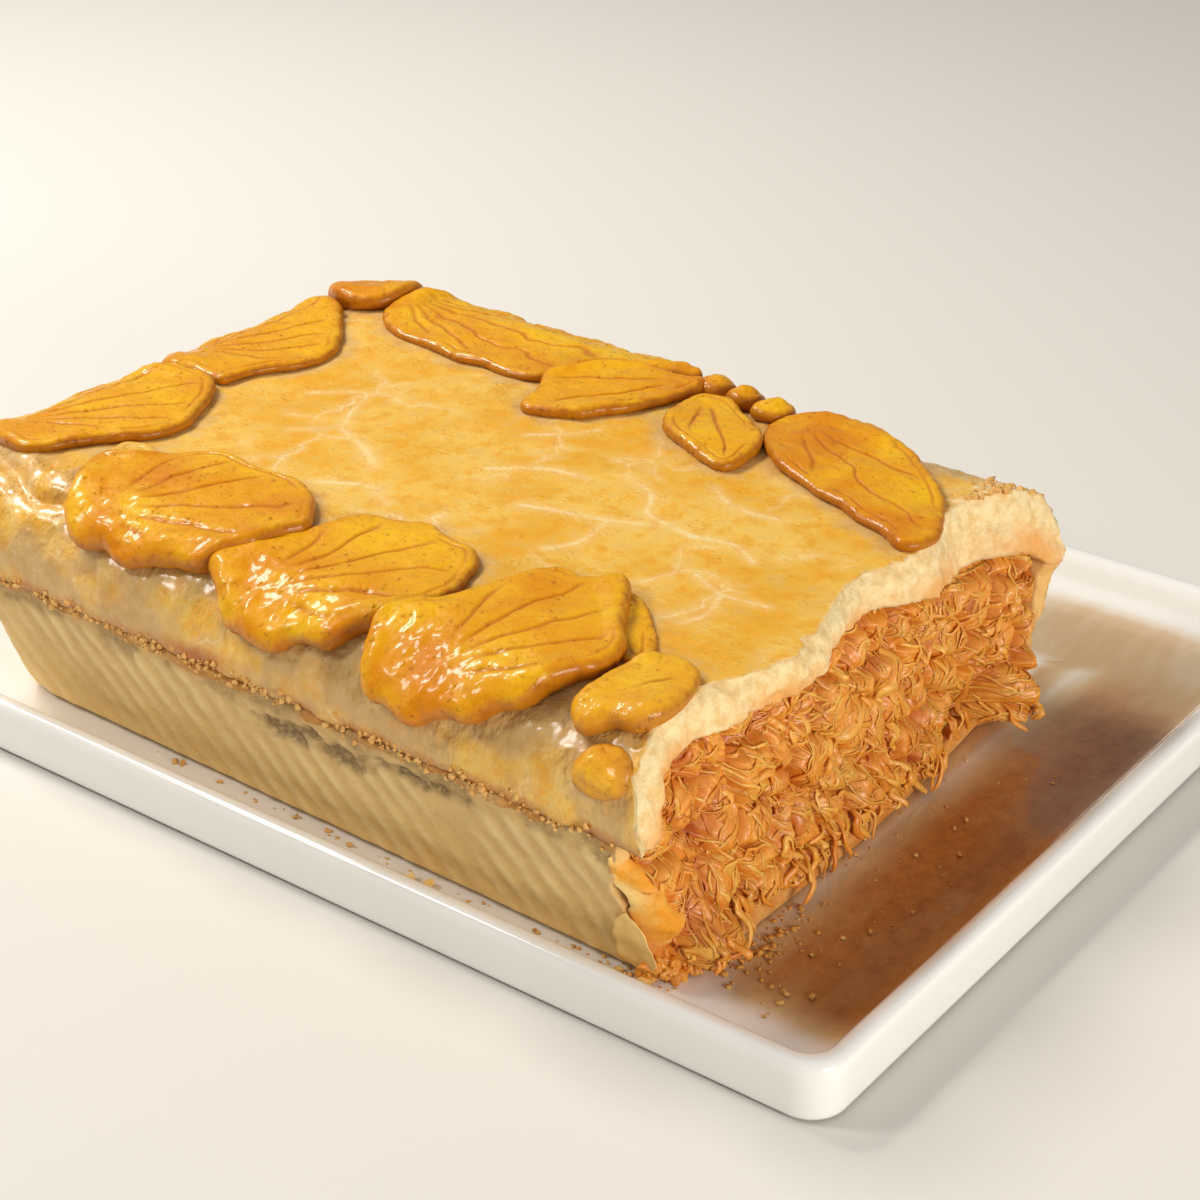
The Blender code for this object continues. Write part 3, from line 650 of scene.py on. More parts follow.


# %% [markdown]
# The dish is white glazed porcelain: a clear gloss over a white body, with the faintest waves left by
# the glaze. Past the cut its floor carries a thin film of orange fat and sauce, streaked where the slice
# was dragged out; darker, the same film is painted shadow of the pie and painted reflection of its cut
# face, and beside the pie's far side it is painted shade and reflection only. The film belongs to the
# floor, so its mask is stored on the dish's points.
#
# The torn crust at the cut corner and the loose crumbs are dry and matte, so each has a plain finish
# with a fine grain.

# %% White glaze, torn crust and crumbs
def glaze_finish():
    """White glaze; the film of fat and painted shadow turns it straw where thin, orange-brown where thick."""
    f = Finish("white_glaze", coat=0.6, coat_roughness=0.04)
    sauce_film_and_shade = f.stored("sauce_film_and_shade")
    streak = f.noise(0.014, 5.0, 0.6, f.stretched((1.0, 0.30, 1.0), 0.2), 0.3)
    spots = f.noise(0.0045, 4.0, 0.7)
    shade = f.noise(0.050, 2.0, 0.5)
    white = f.mix(shade, paint(243, 241, 236), paint(236, 234, 229))
    # The thick film's colour is part orange fat, part painted shadow and reflection of the cut face
    fat_and_shadow_colour = f.mix(f.step(spots, 0.30, 0.75), paint(176, 108, 50), paint(150, 82, 30))
    amount = f.times(sauce_film_and_shade, f.step(streak, 0.28, 0.70, 0.66, 0.92))
    colour = f.mix(f.step(amount, 0.0, 0.45), white, paint(206, 176, 132))
    colour = f.mix(f.step(amount, 0.25, 0.95), colour, fat_and_shadow_colour)
    wave = f.bump(f.noise(0.030, 2.0, 0.5), 0.0002, 0.25)
    wave = f.bump(f.times(spots, sauce_film_and_shade), 0.0003, 0.5, wave)
    return f.done(colour, f.step(amount, 0.0, 1.0, 0.16, 0.34), wave)


def torn_finish():
    """Cream where the flake is dry, amber where it soaked up sauce."""
    f = Finish("torn_crust", specular=0.35, subsurface=0.10)
    tint = f.stored("tint")
    fine, medium = f.noise(0.0013, 4.0, 0.65), f.noise(0.0060, 3.0, 0.6)
    colour = f.mix(tint, paint(255, 217, 138), paint(240, 158, 34))
    colour = f.mix(f.step(medium, 0.40, 0.70, 0.0, 0.6), colour, paint(246, 196, 108))
    colour = f.mix(f.step(fine, 0.55, 0.80, 0.0, 0.5), colour, paint(226, 160, 78))
    return f.done(colour, 0.62, f.bump(f.noise(0.0011, 5.0, 0.7), 0.0005, 0.8))


def crumb_finish():
    """Cream to golden brown by each crumb's own tint."""
    f = Finish("loose_crumb", specular=0.3)
    colour = f.mix(f.stored("tint"), paint(244, 208, 134), paint(206, 130, 46))
    colour = f.mix(f.noise(0.002, 3.0, 0.6), colour, paint(222, 166, 84))
    return f.done(colour, 0.7, f.bump(f.noise(0.0006), 0.0003, 0.6))


LOOKS = {
    "lid": lid_finish(), "case": case_finish(), "leaf": leaf_finish(), "shred": shred_finish(),
    "bed": bed_finish(), "dish": glaze_finish(), "crumb": crumb_finish(), "torn": torn_finish(),
}
print("finishes:", ", ".join(LOOKS))

# %% [markdown]
# ## The dish
#
# A shallow oblong tray: its wall is one profile of inset and height, carried round a rounded rectangle.
# The profile's few points are joined by a smooth curve, so the rim is soft and the inside runs into the
# floor in one hollow. The rings close on the middle of the floor and of the underside.

# %% Dish
DISH = np.array([0.350, 0.250])
DISH_CORNER = 0.009
DISH_HIGH = 0.0143
DISH_PROFILE = [
    # inset from the dish's outline and height: underside, outer wall, rim, hollow and floor
    (0.0500, 0.0), (0.0060, 0.0), (0.0014, 0.0), (0.0004, 0.0008), (0.0002, 0.0030), (0.0001, 0.0070),
    (0.0001, 0.0110), (0.0006, 0.0133), (0.0018, 0.0142), (0.0034, 0.0142), (0.0048, 0.0137),
    (0.0062, 0.0121), (0.0073, 0.0100), (0.0085, 0.0075), (0.0104, 0.0055), (0.0130, 0.0046),
    (0.0170, FLOOR_TOP), (0.0230, FLOOR_TOP), (0.0350, FLOOR_TOP), (0.0500, FLOOR_TOP), (0.0650, FLOOR_TOP),
]


def smooth_line(knots, steps):
    """An open curve of straight-ended Catmull-Rom pieces through the knots."""
    k = np.array(knots, float)
    k = np.vstack([2 * k[0] - k[1], k, 2 * k[-1] - k[-2]])
    a, b, c, d = k[:-3, None], k[1:-2, None], k[2:-1, None], k[3:, None]
    t = np.linspace(0.0, 1.0, steps, endpoint=False)[None, :, None]
    fine = 0.5 * (2 * b + (c - a) * t + (2 * a - 5 * b + 4 * c - d) * t**2 + (3 * b - a - 3 * c + d) * t**3)
    return np.vstack([fine.reshape(-1, k.shape[1]), k[-2]])


def oblong(half_length, half_width, corner, side_steps=96, turn_steps=14):
    """A rounded rectangle as one loop: quarter circles joined by straight runs."""
    loop = []
    for quarter, (sx, sy) in enumerate(((1, -1), (1, 1), (-1, 1), (-1, -1))):
        angle = np.radians(-90.0 + 90.0 * quarter + np.linspace(0.0, 90.0, turn_steps))
        cx, cy = sx * (half_length - corner), sy * (half_width - corner)
        arc = np.stack([cx + corner * np.cos(angle), cy + corner * np.sin(angle)], axis=1)
        nx, ny = ((1, 1), (-1, 1), (-1, -1), (1, -1))[quarter]
        after = np.array([nx * (half_length - corner), ny * (half_width - corner)])
        after = after + corner * np.array([(1, 0), (0, 1), (-1, 0), (0, -1)][quarter])
        t = np.linspace(0.0, 1.0, side_steps, endpoint=False)[1:, None]
        loop += [arc, arc[-1] + (after - arc[-1]) * t]
    return np.vstack(loop)


def build_dish():
    """The dish: at each step of the profile, a rounded rectangle set in by the inset, at the step's height.

    The film is 1 where the sauce lies thick and the painted shadow is darkest: past the cut, fading towards
    every edge of the floor. Beside the pie's far side it is painted shade and reflection, at half strength.
    """
    profile = smooth_line(DISH_PROFILE, 4)
    profile[:, 1] = np.clip(profile[:, 1], 0.0, DISH_HIGH)
    rings = []
    for inset, height in profile:
        half = DISH / 2 - max(inset, 0.0001)
        corner = max(DISH_CORNER - 0.45 * inset, 0.004)
        ring = oblong(*half, corner)
        rings.append(np.column_stack([ring, np.full(len(ring), height)]))
    innermost = rings[-1]
    rings += [innermost * (share, share, 1.0) for share in (0.8, 0.6, 0.4, 0.2)]
    grid = np.array(rings)
    rows, columns = grid.shape[:2]
    middles = np.array([[0.0, 0.0, FLOOR_TOP], [0.0, 0.0, 0.0]])
    last = np.arange(columns)
    fan_up = np.stack([(rows - 1) * columns + last, (rows - 1) * columns + np.roll(last, -1),
                       np.full(columns, rows * columns)], axis=1)
    fan_down = np.stack([np.roll(last, -1), last, np.full(columns, rows * columns + 1)], axis=1)
    points = np.vstack([grid.reshape(-1, 3), middles])
    x, y, z = points.T
    # The fat and the pie's painted shadow lie past the cut, thickest near it and along the way the slice
    # was dragged
    bare = 0.65 * hill(x, 0.129, 0.006) + 0.25 * ease((x - 0.158) / 0.010)
    low_enough = ease((0.0085 - z) / 0.003)
    off_far_wall = ease((0.118 - y) / 0.012)
    fat_and_shade_past_cut = ease((x - 0.116) / 0.006) * (1.0 - bare) * (0.45 + 0.55 * ease((0.100 - y) / 0.060))
    fat_and_shade_past_cut = fat_and_shade_past_cut * off_far_wall * ease((y + 0.112) / 0.022)
    # Beside the pie's far side the film is painted shade and painted dark reflection, with no sauce
    shade_beside_pie = 0.5 * ease((x - 0.066) / 0.050) * ease((y - 0.068) / 0.012) * off_far_wall
    sauce_film_and_shade = np.maximum(fat_and_shade_past_cut, shade_beside_pie) * low_enough
    inside = np.append(np.repeat(np.arange(rows) > np.argmax(profile[:, 1]), columns), [True, False])
    sauce_film_and_shade = sauce_film_and_shade * inside
    piece("oblong_dish", points, [grid_faces(rows, columns, closed=True), fan_up, fan_down], LOOKS["dish"],
          ["dish"], {"sauce_film_and_shade": sauce_film_and_shade})


build_dish()

# %% [markdown]
# ## The lid
#
# The lid was one sheet of dough. Its rings run round three sides of the pie at even steps inwards from
# the seam to the middle line, so the grid follows the rolled shoulder. At the cut each ring turns down
# over the broken edge. Relief is added square to the surface: a slow swell, the puckers of the shoulder
# and the creases at the uncut near corner.

# %% Lid relief and its masks
EGG_CRACKS = [
    # knots of the pale cracks in the egg wash, laid flat, in millimetres
    [(-63, -20), (-50, -12), (-44, -24), (-40, -33), (-48, -42)],
    [(-40, -33), (-24, -40), (-14, -47)],
    [(4, -8), (12, -2), (17, 6)],
    [(30, -42), (44, -37), (52, -35), (62, -30)],
    [(52, -35), (54, -47), (50, -56)],
    [(40, -12), (52, -17), (58, -26), (74, -29)],
    [(74, -29), (84, -26), (92, -30)],
    [(86, -44), (96, -48), (108, -46)],
    [(96, -48), (99, -58), (97, -66)],
    [(-20, -62), (-8, -56), (2, -60)],
    [(10, -30), (22, -22), (34, -20)],
    [(62, -4), (72, -10), (84, -8)],
    [(74, -66), (86, -62), (96, -70)],
]
# The puckered dough at the uncut near corner: a crease along the shoulder and a fold over the edge
CREASE = [(-100, -99), (-88, -103), (-76, -108), (-66, -107)]
FOLD = [(-74, -100), (-69, -92), (-70, -84)]


def near_line(knots, x, y):
    """Distance of places to a smooth open line through knots given in millimetres: the nearest segment's."""
    line = smooth_line(np.array(knots, float) * MM, 6)
    best = np.full(np.shape(x), 9.0)
    for a, b in zip(line, line[1:]):
        ab = b - a
        t = np.clip(((x - a[0]) * ab[0] + (y - a[1]) * ab[1]) / (ab @ ab), 0.0, 1.0)
        best = np.minimum(best, np.hypot(x - a[0] - t * ab[0], y - a[1] - t * ab[1]))
    return best


def leaf_distance(x, y):
    """Distance from laid-flat places to the nearest leaf's outline, below 0 under a leaf."""
    return np.min([distance_to(outline[::2], x, y) for outline in OUTLINES.values()], axis=0)


def lid_relief(x, y):
    """Relief square to the lid: swell + puckers on the shoulder + creases at the uncut near corner."""
    p = flat_place(x, y)
    depth = lid_depth(x, y)
    shoulder = ease((0.034 - depth) / 0.020)
    relief = 0.0005 * noise(p, 0.034, 3.0) + 0.00022 * rough(p, 0.010, 2, 5.0)
    relief += shoulder * (0.00062 * rough(p, 0.0085, 3, 8.0) + 0.00020 * noise(p, 0.0024, 2.0))
    crease = near_line(CREASE, x, y)
    relief -= 0.0016 * np.exp(-((crease / 0.0016) ** 2))
    relief += 0.0012 * np.exp(-(((crease - 0.0050) / 0.0035) ** 2)) * ease((-0.060 - x) / 0.010)
    fold = near_line(FOLD, x, y)
    relief += 0.0014 * np.exp(-((fold / 0.0024) ** 2))
    return relief


def lid_break(y, z):
    """Where the lid was broken: X at a place across and a height.

    It leans back towards the top, steps back where flakes left and stands out near both sides.
    """
    steps = 0.0050 * hill(y, -0.022, 0.014) + 0.0070 * hill(y, 0.026, 0.014)
    base = CUT - 0.25 * (z - 0.0640) - steps
    base = base + 0.0050 * hill(y, -0.062, 0.018) + 0.0010 * hill(y, 0.060, 0.014)
    p = np.stack([np.zeros_like(y), y, z], axis=-1)
    return base + 0.0016 * rough(p, 0.011, 3, 21.0) + 0.0008 * rough(p, 0.0034, 2, 5.0)


# %% Lid mesh
LID_COLUMNS = (236, 48, 132)  # on a long side, a corner and the uncut end
LID_ROWS = 118
BREAK_ROWS = 15
UNDER_SHARES = (0.965, 0.93, 0.89, 0.84, 0.60, 0.30)


def build_lid():
    """The lid: rings at even depths from the seam to the middle line, each run out to the broken edge.

    A ring's point is a laid-flat place, draped over the shoulder and raised by the relief. At both ends
    the ring turns down the broken face. Rings that shrink towards the middle close the underside.
    """
    left, near, far, corner = LID_LINE
    side, turn, across = LID_COLUMNS
    middle = (far - near) / 2
    depth = EDGE + (middle - EDGE) * np.linspace(0.0, 1.0, LID_ROWS)[:, None]
    radius = np.maximum(corner - depth, 0.0)
    l, n, f = left + depth, near + depth, far - depth
    ends = []
    for y_flat in (f, n):
        # The ring ends where the broken edge crosses it: a few rounds settle on the height there
        x_end = np.full_like(y_flat, CUT)
        for _ in range(3):
            place = drape(x_end, y_flat, 0.0 * y_flat)
            x_end = lid_break(place[..., 1], place[..., 2])
        ends.append(x_end)
    t = np.linspace(0.0, 1.0, side)[None, :]
    a = np.radians(90.0 * np.linspace(0.0, 1.0, turn)[None, 1:])
    v = np.linspace(0.0, 1.0, across)[None, 1:]
    xs = [ends[0] + (l + radius - ends[0]) * t, l + radius - radius * np.sin(a), l + 0.0 * v]
    ys = [f + 0.0 * t, f - radius + radius * np.cos(a), f - radius + (n - f + 2 * radius) * v]
    xs += [l + radius - radius * np.cos(a), l + radius + (ends[1] - l - radius) * t[:, 1:]]
    ys += [n + radius - radius * np.sin(a), n + 0.0 * t[:, 1:]]
    x, y = np.hstack(xs), np.hstack(ys)
    top = drape(x, y, lid_relief(x, y))
    outside = leaf_distance(x, y)
    crack = np.min([near_line(line, x, y) for line in EGG_CRACKS], axis=0)
    ragged = 0.0004 * noise(flat_place(x, y), 0.0016, 9.0) + 0.0006 * noise(flat_place(x, y), 0.007, 4.0)
    on_shoulder = ease((0.030 - lid_depth(x, y)) / 0.018)
    patch = rough(flat_place(x, y), 0.020, 3, 14.0)
    wash = 0.96 - 0.75 * ease((0.0055 + 6 * ragged - outside) / 0.0060)
    wash *= 1.0 - on_shoulder * np.clip(0.26 - 1.6 * patch, 0.0, 0.9)
    to_break = np.hstack([ends[0], ends[1]])
    rim = np.where(y > (near + far) / 2, to_break[:, :1] - x, to_break[:, 1:] - x)
    wash = np.maximum(wash, 0.9 * ease((0.004 - rim) / 0.003) * (patch > -0.2))
    crack_share = 0.8 * np.exp(-(((crack + ragged) / 0.00038) ** 2)) + 0.35 * np.exp(-((crack / 0.0022) ** 2))
    crack_share *= ease((outside - 0.002) / 0.004) * (1.0 - on_shoulder)
    from_seam = depth - EDGE
    scattered = np.clip(0.55 + 1.2 * noise(flat_place(x, y), 0.012, 6.0), 0, 1)
    brown = 0.75 * ease((0.0030 - from_seam) / 0.0024) * scattered
    burnt = hill(x, -0.009, 0.013) * (y < -0.05) * ease((0.0060 - from_seam) / 0.004)
    brown = np.maximum(brown, burnt)
    sides = []
    s = np.linspace(0.0, 1.0, BREAK_ROWS)[None, :]
    for edge in (top[:, 0], top[:, -1]):
        yy = edge[:, None, 1] + 0.0 * s
        floor = np.minimum(lid_under(edge[:, 0], edge[:, 1]), edge[:, 2] - 0.0002)[:, None]
        zz = edge[:, None, 2] + (floor - edge[:, None, 2]) * s
        bulge = 0.0012 * np.sin(np.pi * s) * ease((edge[:, None, 2] - floor) / 0.008)
        xx = lid_break(yy, zz) + bulge
        xx = edge[:, None, 0] + (xx - edge[:, None, 0]) * ease(s / 0.15)
        sides.append(np.stack([xx, yy, zz], axis=-1)[:, 1:])
    grid = np.concatenate([sides[0][:, ::-1], top, sides[1]], axis=1)
    rows, columns = grid.shape[:2]
    extra = BREAK_ROWS - 1

    def spread(on_top, on_break=np.zeros((1, 1))):
        """A field over the whole grid: its values on the top, and on the broken face at both ends."""
        broken = np.broadcast_to(on_break, (rows, extra))
        return np.hstack([broken[:, ::-1], on_top, broken])

    down = s[:, 1:]
    torn_top = ease((x - 0.1105 - 5 * ragged) / 0.0016) * ease((y - 0.026 - 6 * ragged) / 0.003)
    torn_top = torn_top * (outside > 0)
    torn_top = np.maximum(torn_top, ease((0.0007 + 1.5 * ragged - rim) / 0.0009) * 0.85)
    crumb = spread(torn_top, 0.0 * depth + np.clip(0.4 + 8 * down, 0, 1))
    far_break = 0.85 * ease((down - 0.35) / 0.5) * (0.55 + 0.45 * np.sin(150.0 * depth))
    stain = spread(0.0 * x, np.clip(far_break, 0, 1) + 0.0 * depth)
    values = {
        "gloss": spread(on_shoulder), "wash": spread(wash), "brown": spread(brown),
        "crack": spread(crack_share), "crumb": crumb, "stain": stain,
    }
    border = np.concatenate([np.arange(columns), columns - 1 + columns * np.arange(1, rows),
                             (columns * np.arange(1, rows - 1))[::-1]])
    loop = grid.reshape(-1, 3)[border]
    centre = np.array([-0.010, (near + far) / 2])
    rings = []
    for share in UNDER_SHARES:
        xy = centre + (loop[:, :2] - centre) * share
        # A few thousandths of a millimetre keep neighbours apart where the broken edge stands upright
        z = np.minimum(lid_under(xy[:, 0], xy[:, 1]), loop[:, 2] + 0.010) + 4e-6 * (np.arange(len(loop)) % 16)
        rings.append(np.column_stack([xy, z]))
    count = len(loop)
    under = np.vstack(rings)
    base = rows * columns
    hub = base + len(under)
    j = np.arange(count)
    k = np.roll(j, -1)
    faces = [grid_faces(rows, columns), np.stack([border[j], border[k], base + k, base + j], axis=1)]
    faces.append(grid_faces(len(rings), count, closed=True, start=base))
    last = base + (len(rings) - 1) * count
    faces.append(np.stack([last + j, last + k, np.full(count, hub)], axis=1))
    points = np.vstack([grid.reshape(-1, 3), under, [[*centre, float(lid_under(*centre))]]])
    fill = np.zeros(len(under) + 1)  # the underside has no wash, crumb or crack
    values = {key: np.concatenate([v.ravel(), fill]) for key, v in values.items()}
    piece("domed_lid", into_dish(points), faces, LOOKS["lid"], ["lid"], values)


build_lid()

# %% [markdown]
# ## The case
#
# The case is base and wall in one piece of dough, pressed into a ribbed tin. Its section runs from the
# middle of the base out to the foot, up the wall, over the ledge and back down inside. The ribs lean,
# as the tin's do. Where the cut end is, the section's two sides are joined by a rough broken face.

# %% Case
CASE_COLUMNS = (230, 40, 120)  # on a long side, a corner and the uncut end
WALL_ROWS = 40
RIB_PITCH = 0.0080
RIB_LEAN = 0.51
RIB_DEEP = 0.00046
HOLLOWS = [
    # Where the wall flaked off under the seam: X, height, half width and half height
    (0.0145, 0.0350, 0.0095, 0.0038), (0.0350, 0.0350, 0.0095, 0.0042),
    (0.0240, 0.0380, 0.0080, 0.0026), (0.0600, 0.0385, 0.0140, 0.0026),
]
BASE_EDGE = np.array([
    # across the cut and how far along the dish the base reaches there
    (-0.110, 0.1170), (-0.103, 0.1180), (-0.096, 0.1245), (-0.078, 0.1225), (-0.057, 0.1260),
    (-0.037, 0.1245),
    (-0.017, 0.1250), (0.002, 0.1225), (0.020, 0.1190), (0.039, 0.1185), (0.047, 0.1240), (0.054, 0.1270),
])


def case_line(height):
    """The case's outer line at a height: left, near, far and corner, between the foot's and the seam's."""
    t = (height - FLOOR_TOP) / (SEAM_HEIGHT - FLOOR_TOP)
    return FOOT[:, None] + (SEAM - FOOT)[:, None] * t


def base_edge(y):
    """X where the base broke off: it wanders along the cut and runs out to a point at the far corner."""
    return np.interp(y, *BASE_EDGE.T)


def case_break(y, z):
    """Where the case was broken: the base and far wall reach furthest, the near wall is torn back."""
    low = 1.0 - ease((z - 0.0080) / 0.0080)
    near_tear = 0.0060 * hill(y, -0.112, 0.014) * hill(z, 0.030, 0.014)
    p = np.stack([np.zeros_like(y), y, z], axis=-1)
    torn = 0.0016 * rough(p, 0.009, 3, 31.0) + 0.0006 * noise(p, 0.002, 6.0)
    wall = CUT - 0.0010 - near_tear + 0.0045 * hill(y, 0.058, 0.014)
    return wall + (base_edge(y) - wall) * low + torn * (1.0 - 0.4 * low)


def case_sheet(heights, insets):
    """The case's surface: one row a height and inset, columns round the far side, end and near side.

    Gives X, Y, Z, the outward direction's X and Y, and how far along its row each point lies.
    """
    side, turn, across = CASE_COLUMNS
    line = case_line(heights)
    inset = insets[:, None]
    l, n, f = line[0][:, None] + inset, line[1][:, None] + inset, line[2][:, None] - inset
    r = np.maximum(line[3][:, None] - inset, 0.0)
    n, f = np.minimum(n, (n + f) / 2), np.maximum(f, (n + f) / 2)
    z = heights[:, None]
    t = np.linspace(0.0, 1.0, side)[None, :]
    a = np.radians(90.0 * np.linspace(0.0, 1.0, turn)[None, 1:])
    v = np.linspace(0.0, 1.0, across)[None, 1:]
    far_end, near_end = case_break(f, z), case_break(n, z)
    x = np.hstack([far_end + (l + r - far_end) * t, l + r - r * np.sin(a), l + 0 * v, l + r - r * np.cos(a),
                   l + r + (near_end - l - r) * t[:, 1:]])
    y = np.hstack([f + 0 * t, f - r + r * np.cos(a), f - r + (n - f + 2 * r) * v, n + r - r * np.sin(a),
                   n + 0 * t[:, 1:]])
    ox = np.hstack([0 * t, -np.sin(a), -1.0 + 0 * v, -np.cos(a), 0 * t[:, 1:]]) + 0 * z
    oy = np.hstack([1.0 + 0 * t, np.cos(a), 0 * v, -np.sin(a), -1.0 + 0 * t[:, 1:]]) + 0 * z
    run = np.where(abs(oy) > 0.7, np.abs(x - l), np.abs(y - n) + 0.031)
    run = np.where(oy < -0.7, x, run)
    return x, y, z + 0 * x, ox, oy, run


def build_case():
    """The case: an outer and an inner sheet joined at the seam and, at the cut, by a crumbled face.

    The outer sheet is pushed out by the ribs, wave^1.5 of a sine that leans with height, in by the
    hollows, and out again by the rough ledge under the lid.
    """
    foot = FLOOR_TOP + GAP
    wall = np.linspace(foot + 0.0010, SEAM_HEIGHT - 0.0030, WALL_ROWS)
    heights = np.concatenate([[foot] * 4, wall, SEAM_HEIGHT - np.array([0.0022, 0.0014, 0.0006, 0.0])])
    insets = np.concatenate([[0.0800, 0.0400, 0.0100, 0.0016], 0.0 * wall, [0.0, 0.0, 0.0, 0.0006]])
    insets[4] = 0.0006
    x, y, z, ox, oy, run = case_sheet(heights, insets)
    p = np.stack([x, y, z], axis=-1)
    up = (z - foot) / (SEAM_HEIGHT - foot)
    on_wall = ease((z - foot) / 0.003) * ease((SEAM_HEIGHT - 0.0040 - z) / 0.004)
    wander = 0.0020 * noise(p, 0.026, 2.0)
    wave = 0.5 + 0.5 * np.sin(2 * np.pi * (run + RIB_LEAN * (z - SEAM_HEIGHT) + wander) / RIB_PITCH)
    rib = wave**1.5 * np.clip(0.75 + 1.1 * noise(p, 0.024, 9.0) + 0.5 * noise(p, 0.006, 10.0), 0.05, 1.2)
    hollow = np.zeros_like(x)
    for middle_x, middle_z, wide, tall in HOLLOWS:
        spot = np.hypot((x - middle_x) / wide, (z - middle_z) / tall) + 0.5 * noise(p, 0.0035, 7.0)
        hollow = np.maximum(hollow, ease(1.35 - spot) * (y < -0.09))
    flaky = 0.22 + 0.9 * noise(p, 0.014, 17.0) + 0.3 * rough(p, 0.004, 2, 18.0) + 1.2 * (up - 0.88)
    loose = ease(flaky / 0.4) * ease((up - 0.70) / 0.14)
    hollow = np.maximum(hollow, 0.55 * loose)
    push = on_wall * RIB_DEEP * (rib - 0.35) * (1.0 - 0.8 * hollow)
    push += on_wall * (0.00045 * rough(p, 0.010, 3, 3.0) + 0.00016 * noise(p, 0.0018, 1.0))
    push -= hollow * (0.0013 + 0.0010 * rough(p, 0.0030, 2, 2.0))
    ledge = ease((z - (SEAM_HEIGHT - 0.0034)) / 0.0012) * ease((SEAM_HEIGHT + 0.0006 - z) / 0.0008)
    push += ledge * (0.0014 + 0.0013 * rough(p, 0.006, 3, 12.0))
    outer = np.stack([x + ox * push, y + oy * push, z + 0.0004 * ledge * noise(p, 0.004, 8.0)], axis=-1)
    inner_wall = np.linspace(foot + CRUST + 0.001, SEAM_HEIGHT - 0.001, WALL_ROWS)
    inner_top = SEAM_HEIGHT - np.array([0.0010, 0.0008, 0.0004, 0.0])
    inner_heights = np.concatenate([[foot + CRUST] * 4, inner_wall, inner_top])
    inner_insets = np.concatenate([[0.0800, 0.0400, 0.0150, CRUST + 0.0020], np.full(WALL_ROWS + 4, CRUST)])
    ix, iy, iz, *_ = case_sheet(inner_heights, inner_insets)
    inner = np.stack([ix, iy, iz], axis=-1)
    rows, columns = x.shape
    across_end = 11
    share = np.linspace(0.0, 1.0, across_end + 2)[1:-1]
    zero = np.zeros_like(x)
    brown = np.clip(ledge * (0.55 + 1.1 * noise(p, 0.011, 13.0)), 0.0, 1.0)
    burnt = hill(x, -0.009, 0.012) * (y < -0.05) * ease((z - (SEAM_HEIGHT - 0.0065)) / 0.003)
    brown = np.clip(brown + burnt + 0.35 * ease((0.0016 - (z - foot)) / 0.0016), 0.0, 1.0)
    low = ease(1.15 - 1.5 * up)
    # rib paints a highlight on the crests, grey paints shade in the hollows
    fields = {"rib": rib * on_wall, "brown": brown, "grey": hollow, "low": low, "crumb": zero}
    points = [outer.reshape(-1, 3), inner.reshape(-1, 3)]
    outer_id = np.arange(rows * columns).reshape(rows, columns)
    inner_id = outer_id + rows * columns
    faces = [grid_faces(rows, columns), grid_faces(rows, columns, start=rows * columns)]
    faces.append(np.stack([outer_id[-1, :-1], outer_id[-1, 1:], inner_id[-1, 1:], inner_id[-1, :-1]], axis=1))
    # The broken face at each end of the section
    next_id = 2 * rows * columns
    extra_values = 0
    for column in (0, columns - 1):
        strip = [outer_id[:, column]]
        for s in share:
            place = outer[:, column] + (inner[:, column] - outer[:, column]) * s
            crumble = 0.0008 * rough(place * (0.0, 1.0, 1.0), 0.0032, 3, 33.0)
            crumble = crumble + 0.0008 * math.sin(math.pi * s)
            place[:, 0] = place[:, 0] * 0.35 + case_break(place[:, 1], place[:, 2]) * 0.65 + crumble
            points.append(place)
            strip.append(next_id + np.arange(rows))
            next_id += rows
            extra_values += rows
        strip.append(inner_id[:, column])
        strip = np.array(strip)
        faces.append(strip[None, :, -1])  # closes the strip's top end
        corners = [strip[:-1, :-1], strip[:-1, 1:], strip[1:, 1:], strip[1:, :-1]]
        faces.append(np.stack(corners, axis=-1).reshape(-1, 4))
    # The two sides of the base meet on a middle line: one strip closes it below and one above
    half = columns // 2
    j = np.arange(half)
    for ids in (outer_id, inner_id):
        row = ids[0]
        faces.append(np.stack([row[j], row[j + 1], row[columns - 2 - j], row[columns - 1 - j]], axis=1))
    values = {}
    for key, field in fields.items():
        ends = np.full(extra_values, 1.0 if key == "crumb" else 0.0)
        if key == "low":
            ends = np.concatenate([np.tile(field[:, column], across_end) for column in (0, columns - 1)])
        values[key] = np.concatenate([field.ravel(), zero.ravel() if key != "low" else field.ravel(), ends])
    values["crumb"][rows * columns:2 * rows * columns] = 1.0
    points = into_dish(np.vstack(points))
    piece("ribbed_case", points, faces, LOOKS["case"], ["crust_case"], values)


build_case()

# %% [markdown]
# ## The filling: a bed and the shreds in it
#
# Shredded chicken is thousands of fibres pressed into wads, so neither a smooth block nor loose noodles
# would do. A bed of meat and sauce fills the pie and carries the wads' relief; over its cut face lie
# real shreds. Each shred is a tube along a curve that turns with the wad it belongs to, dives into the
# bed at both ends and rises in between.

# %% The face of the filling
def grain_angle(y, z):
    """The way the fibres run: slow turns of noise."""
    p = np.stack([0.0 * y, y, z], axis=-1)
    return 0.8 + 2.4 * noise(p, 0.024, 51.0) + 0.9 * noise(p, 0.010, 52.0)


def place_wads():
    """Middles of the wads on a shaken grid, with each one's fibre direction and how far it stands out."""
    rng = np.random.default_rng(40)
    y, z = np.meshgrid(np.linspace(-0.112, 0.060, 17), np.linspace(0.010, 0.064, 6))
    y = (y + rng.uniform(-0.0042, 0.0042, y.shape)).ravel()
    z = (z + rng.uniform(-0.0042, 0.0042, z.shape)).ravel()
    return y, z, grain_angle(y, z) + 0.55 * rng.standard_normal(len(y)), rng.uniform(-0.0022, 0.0022, len(y))


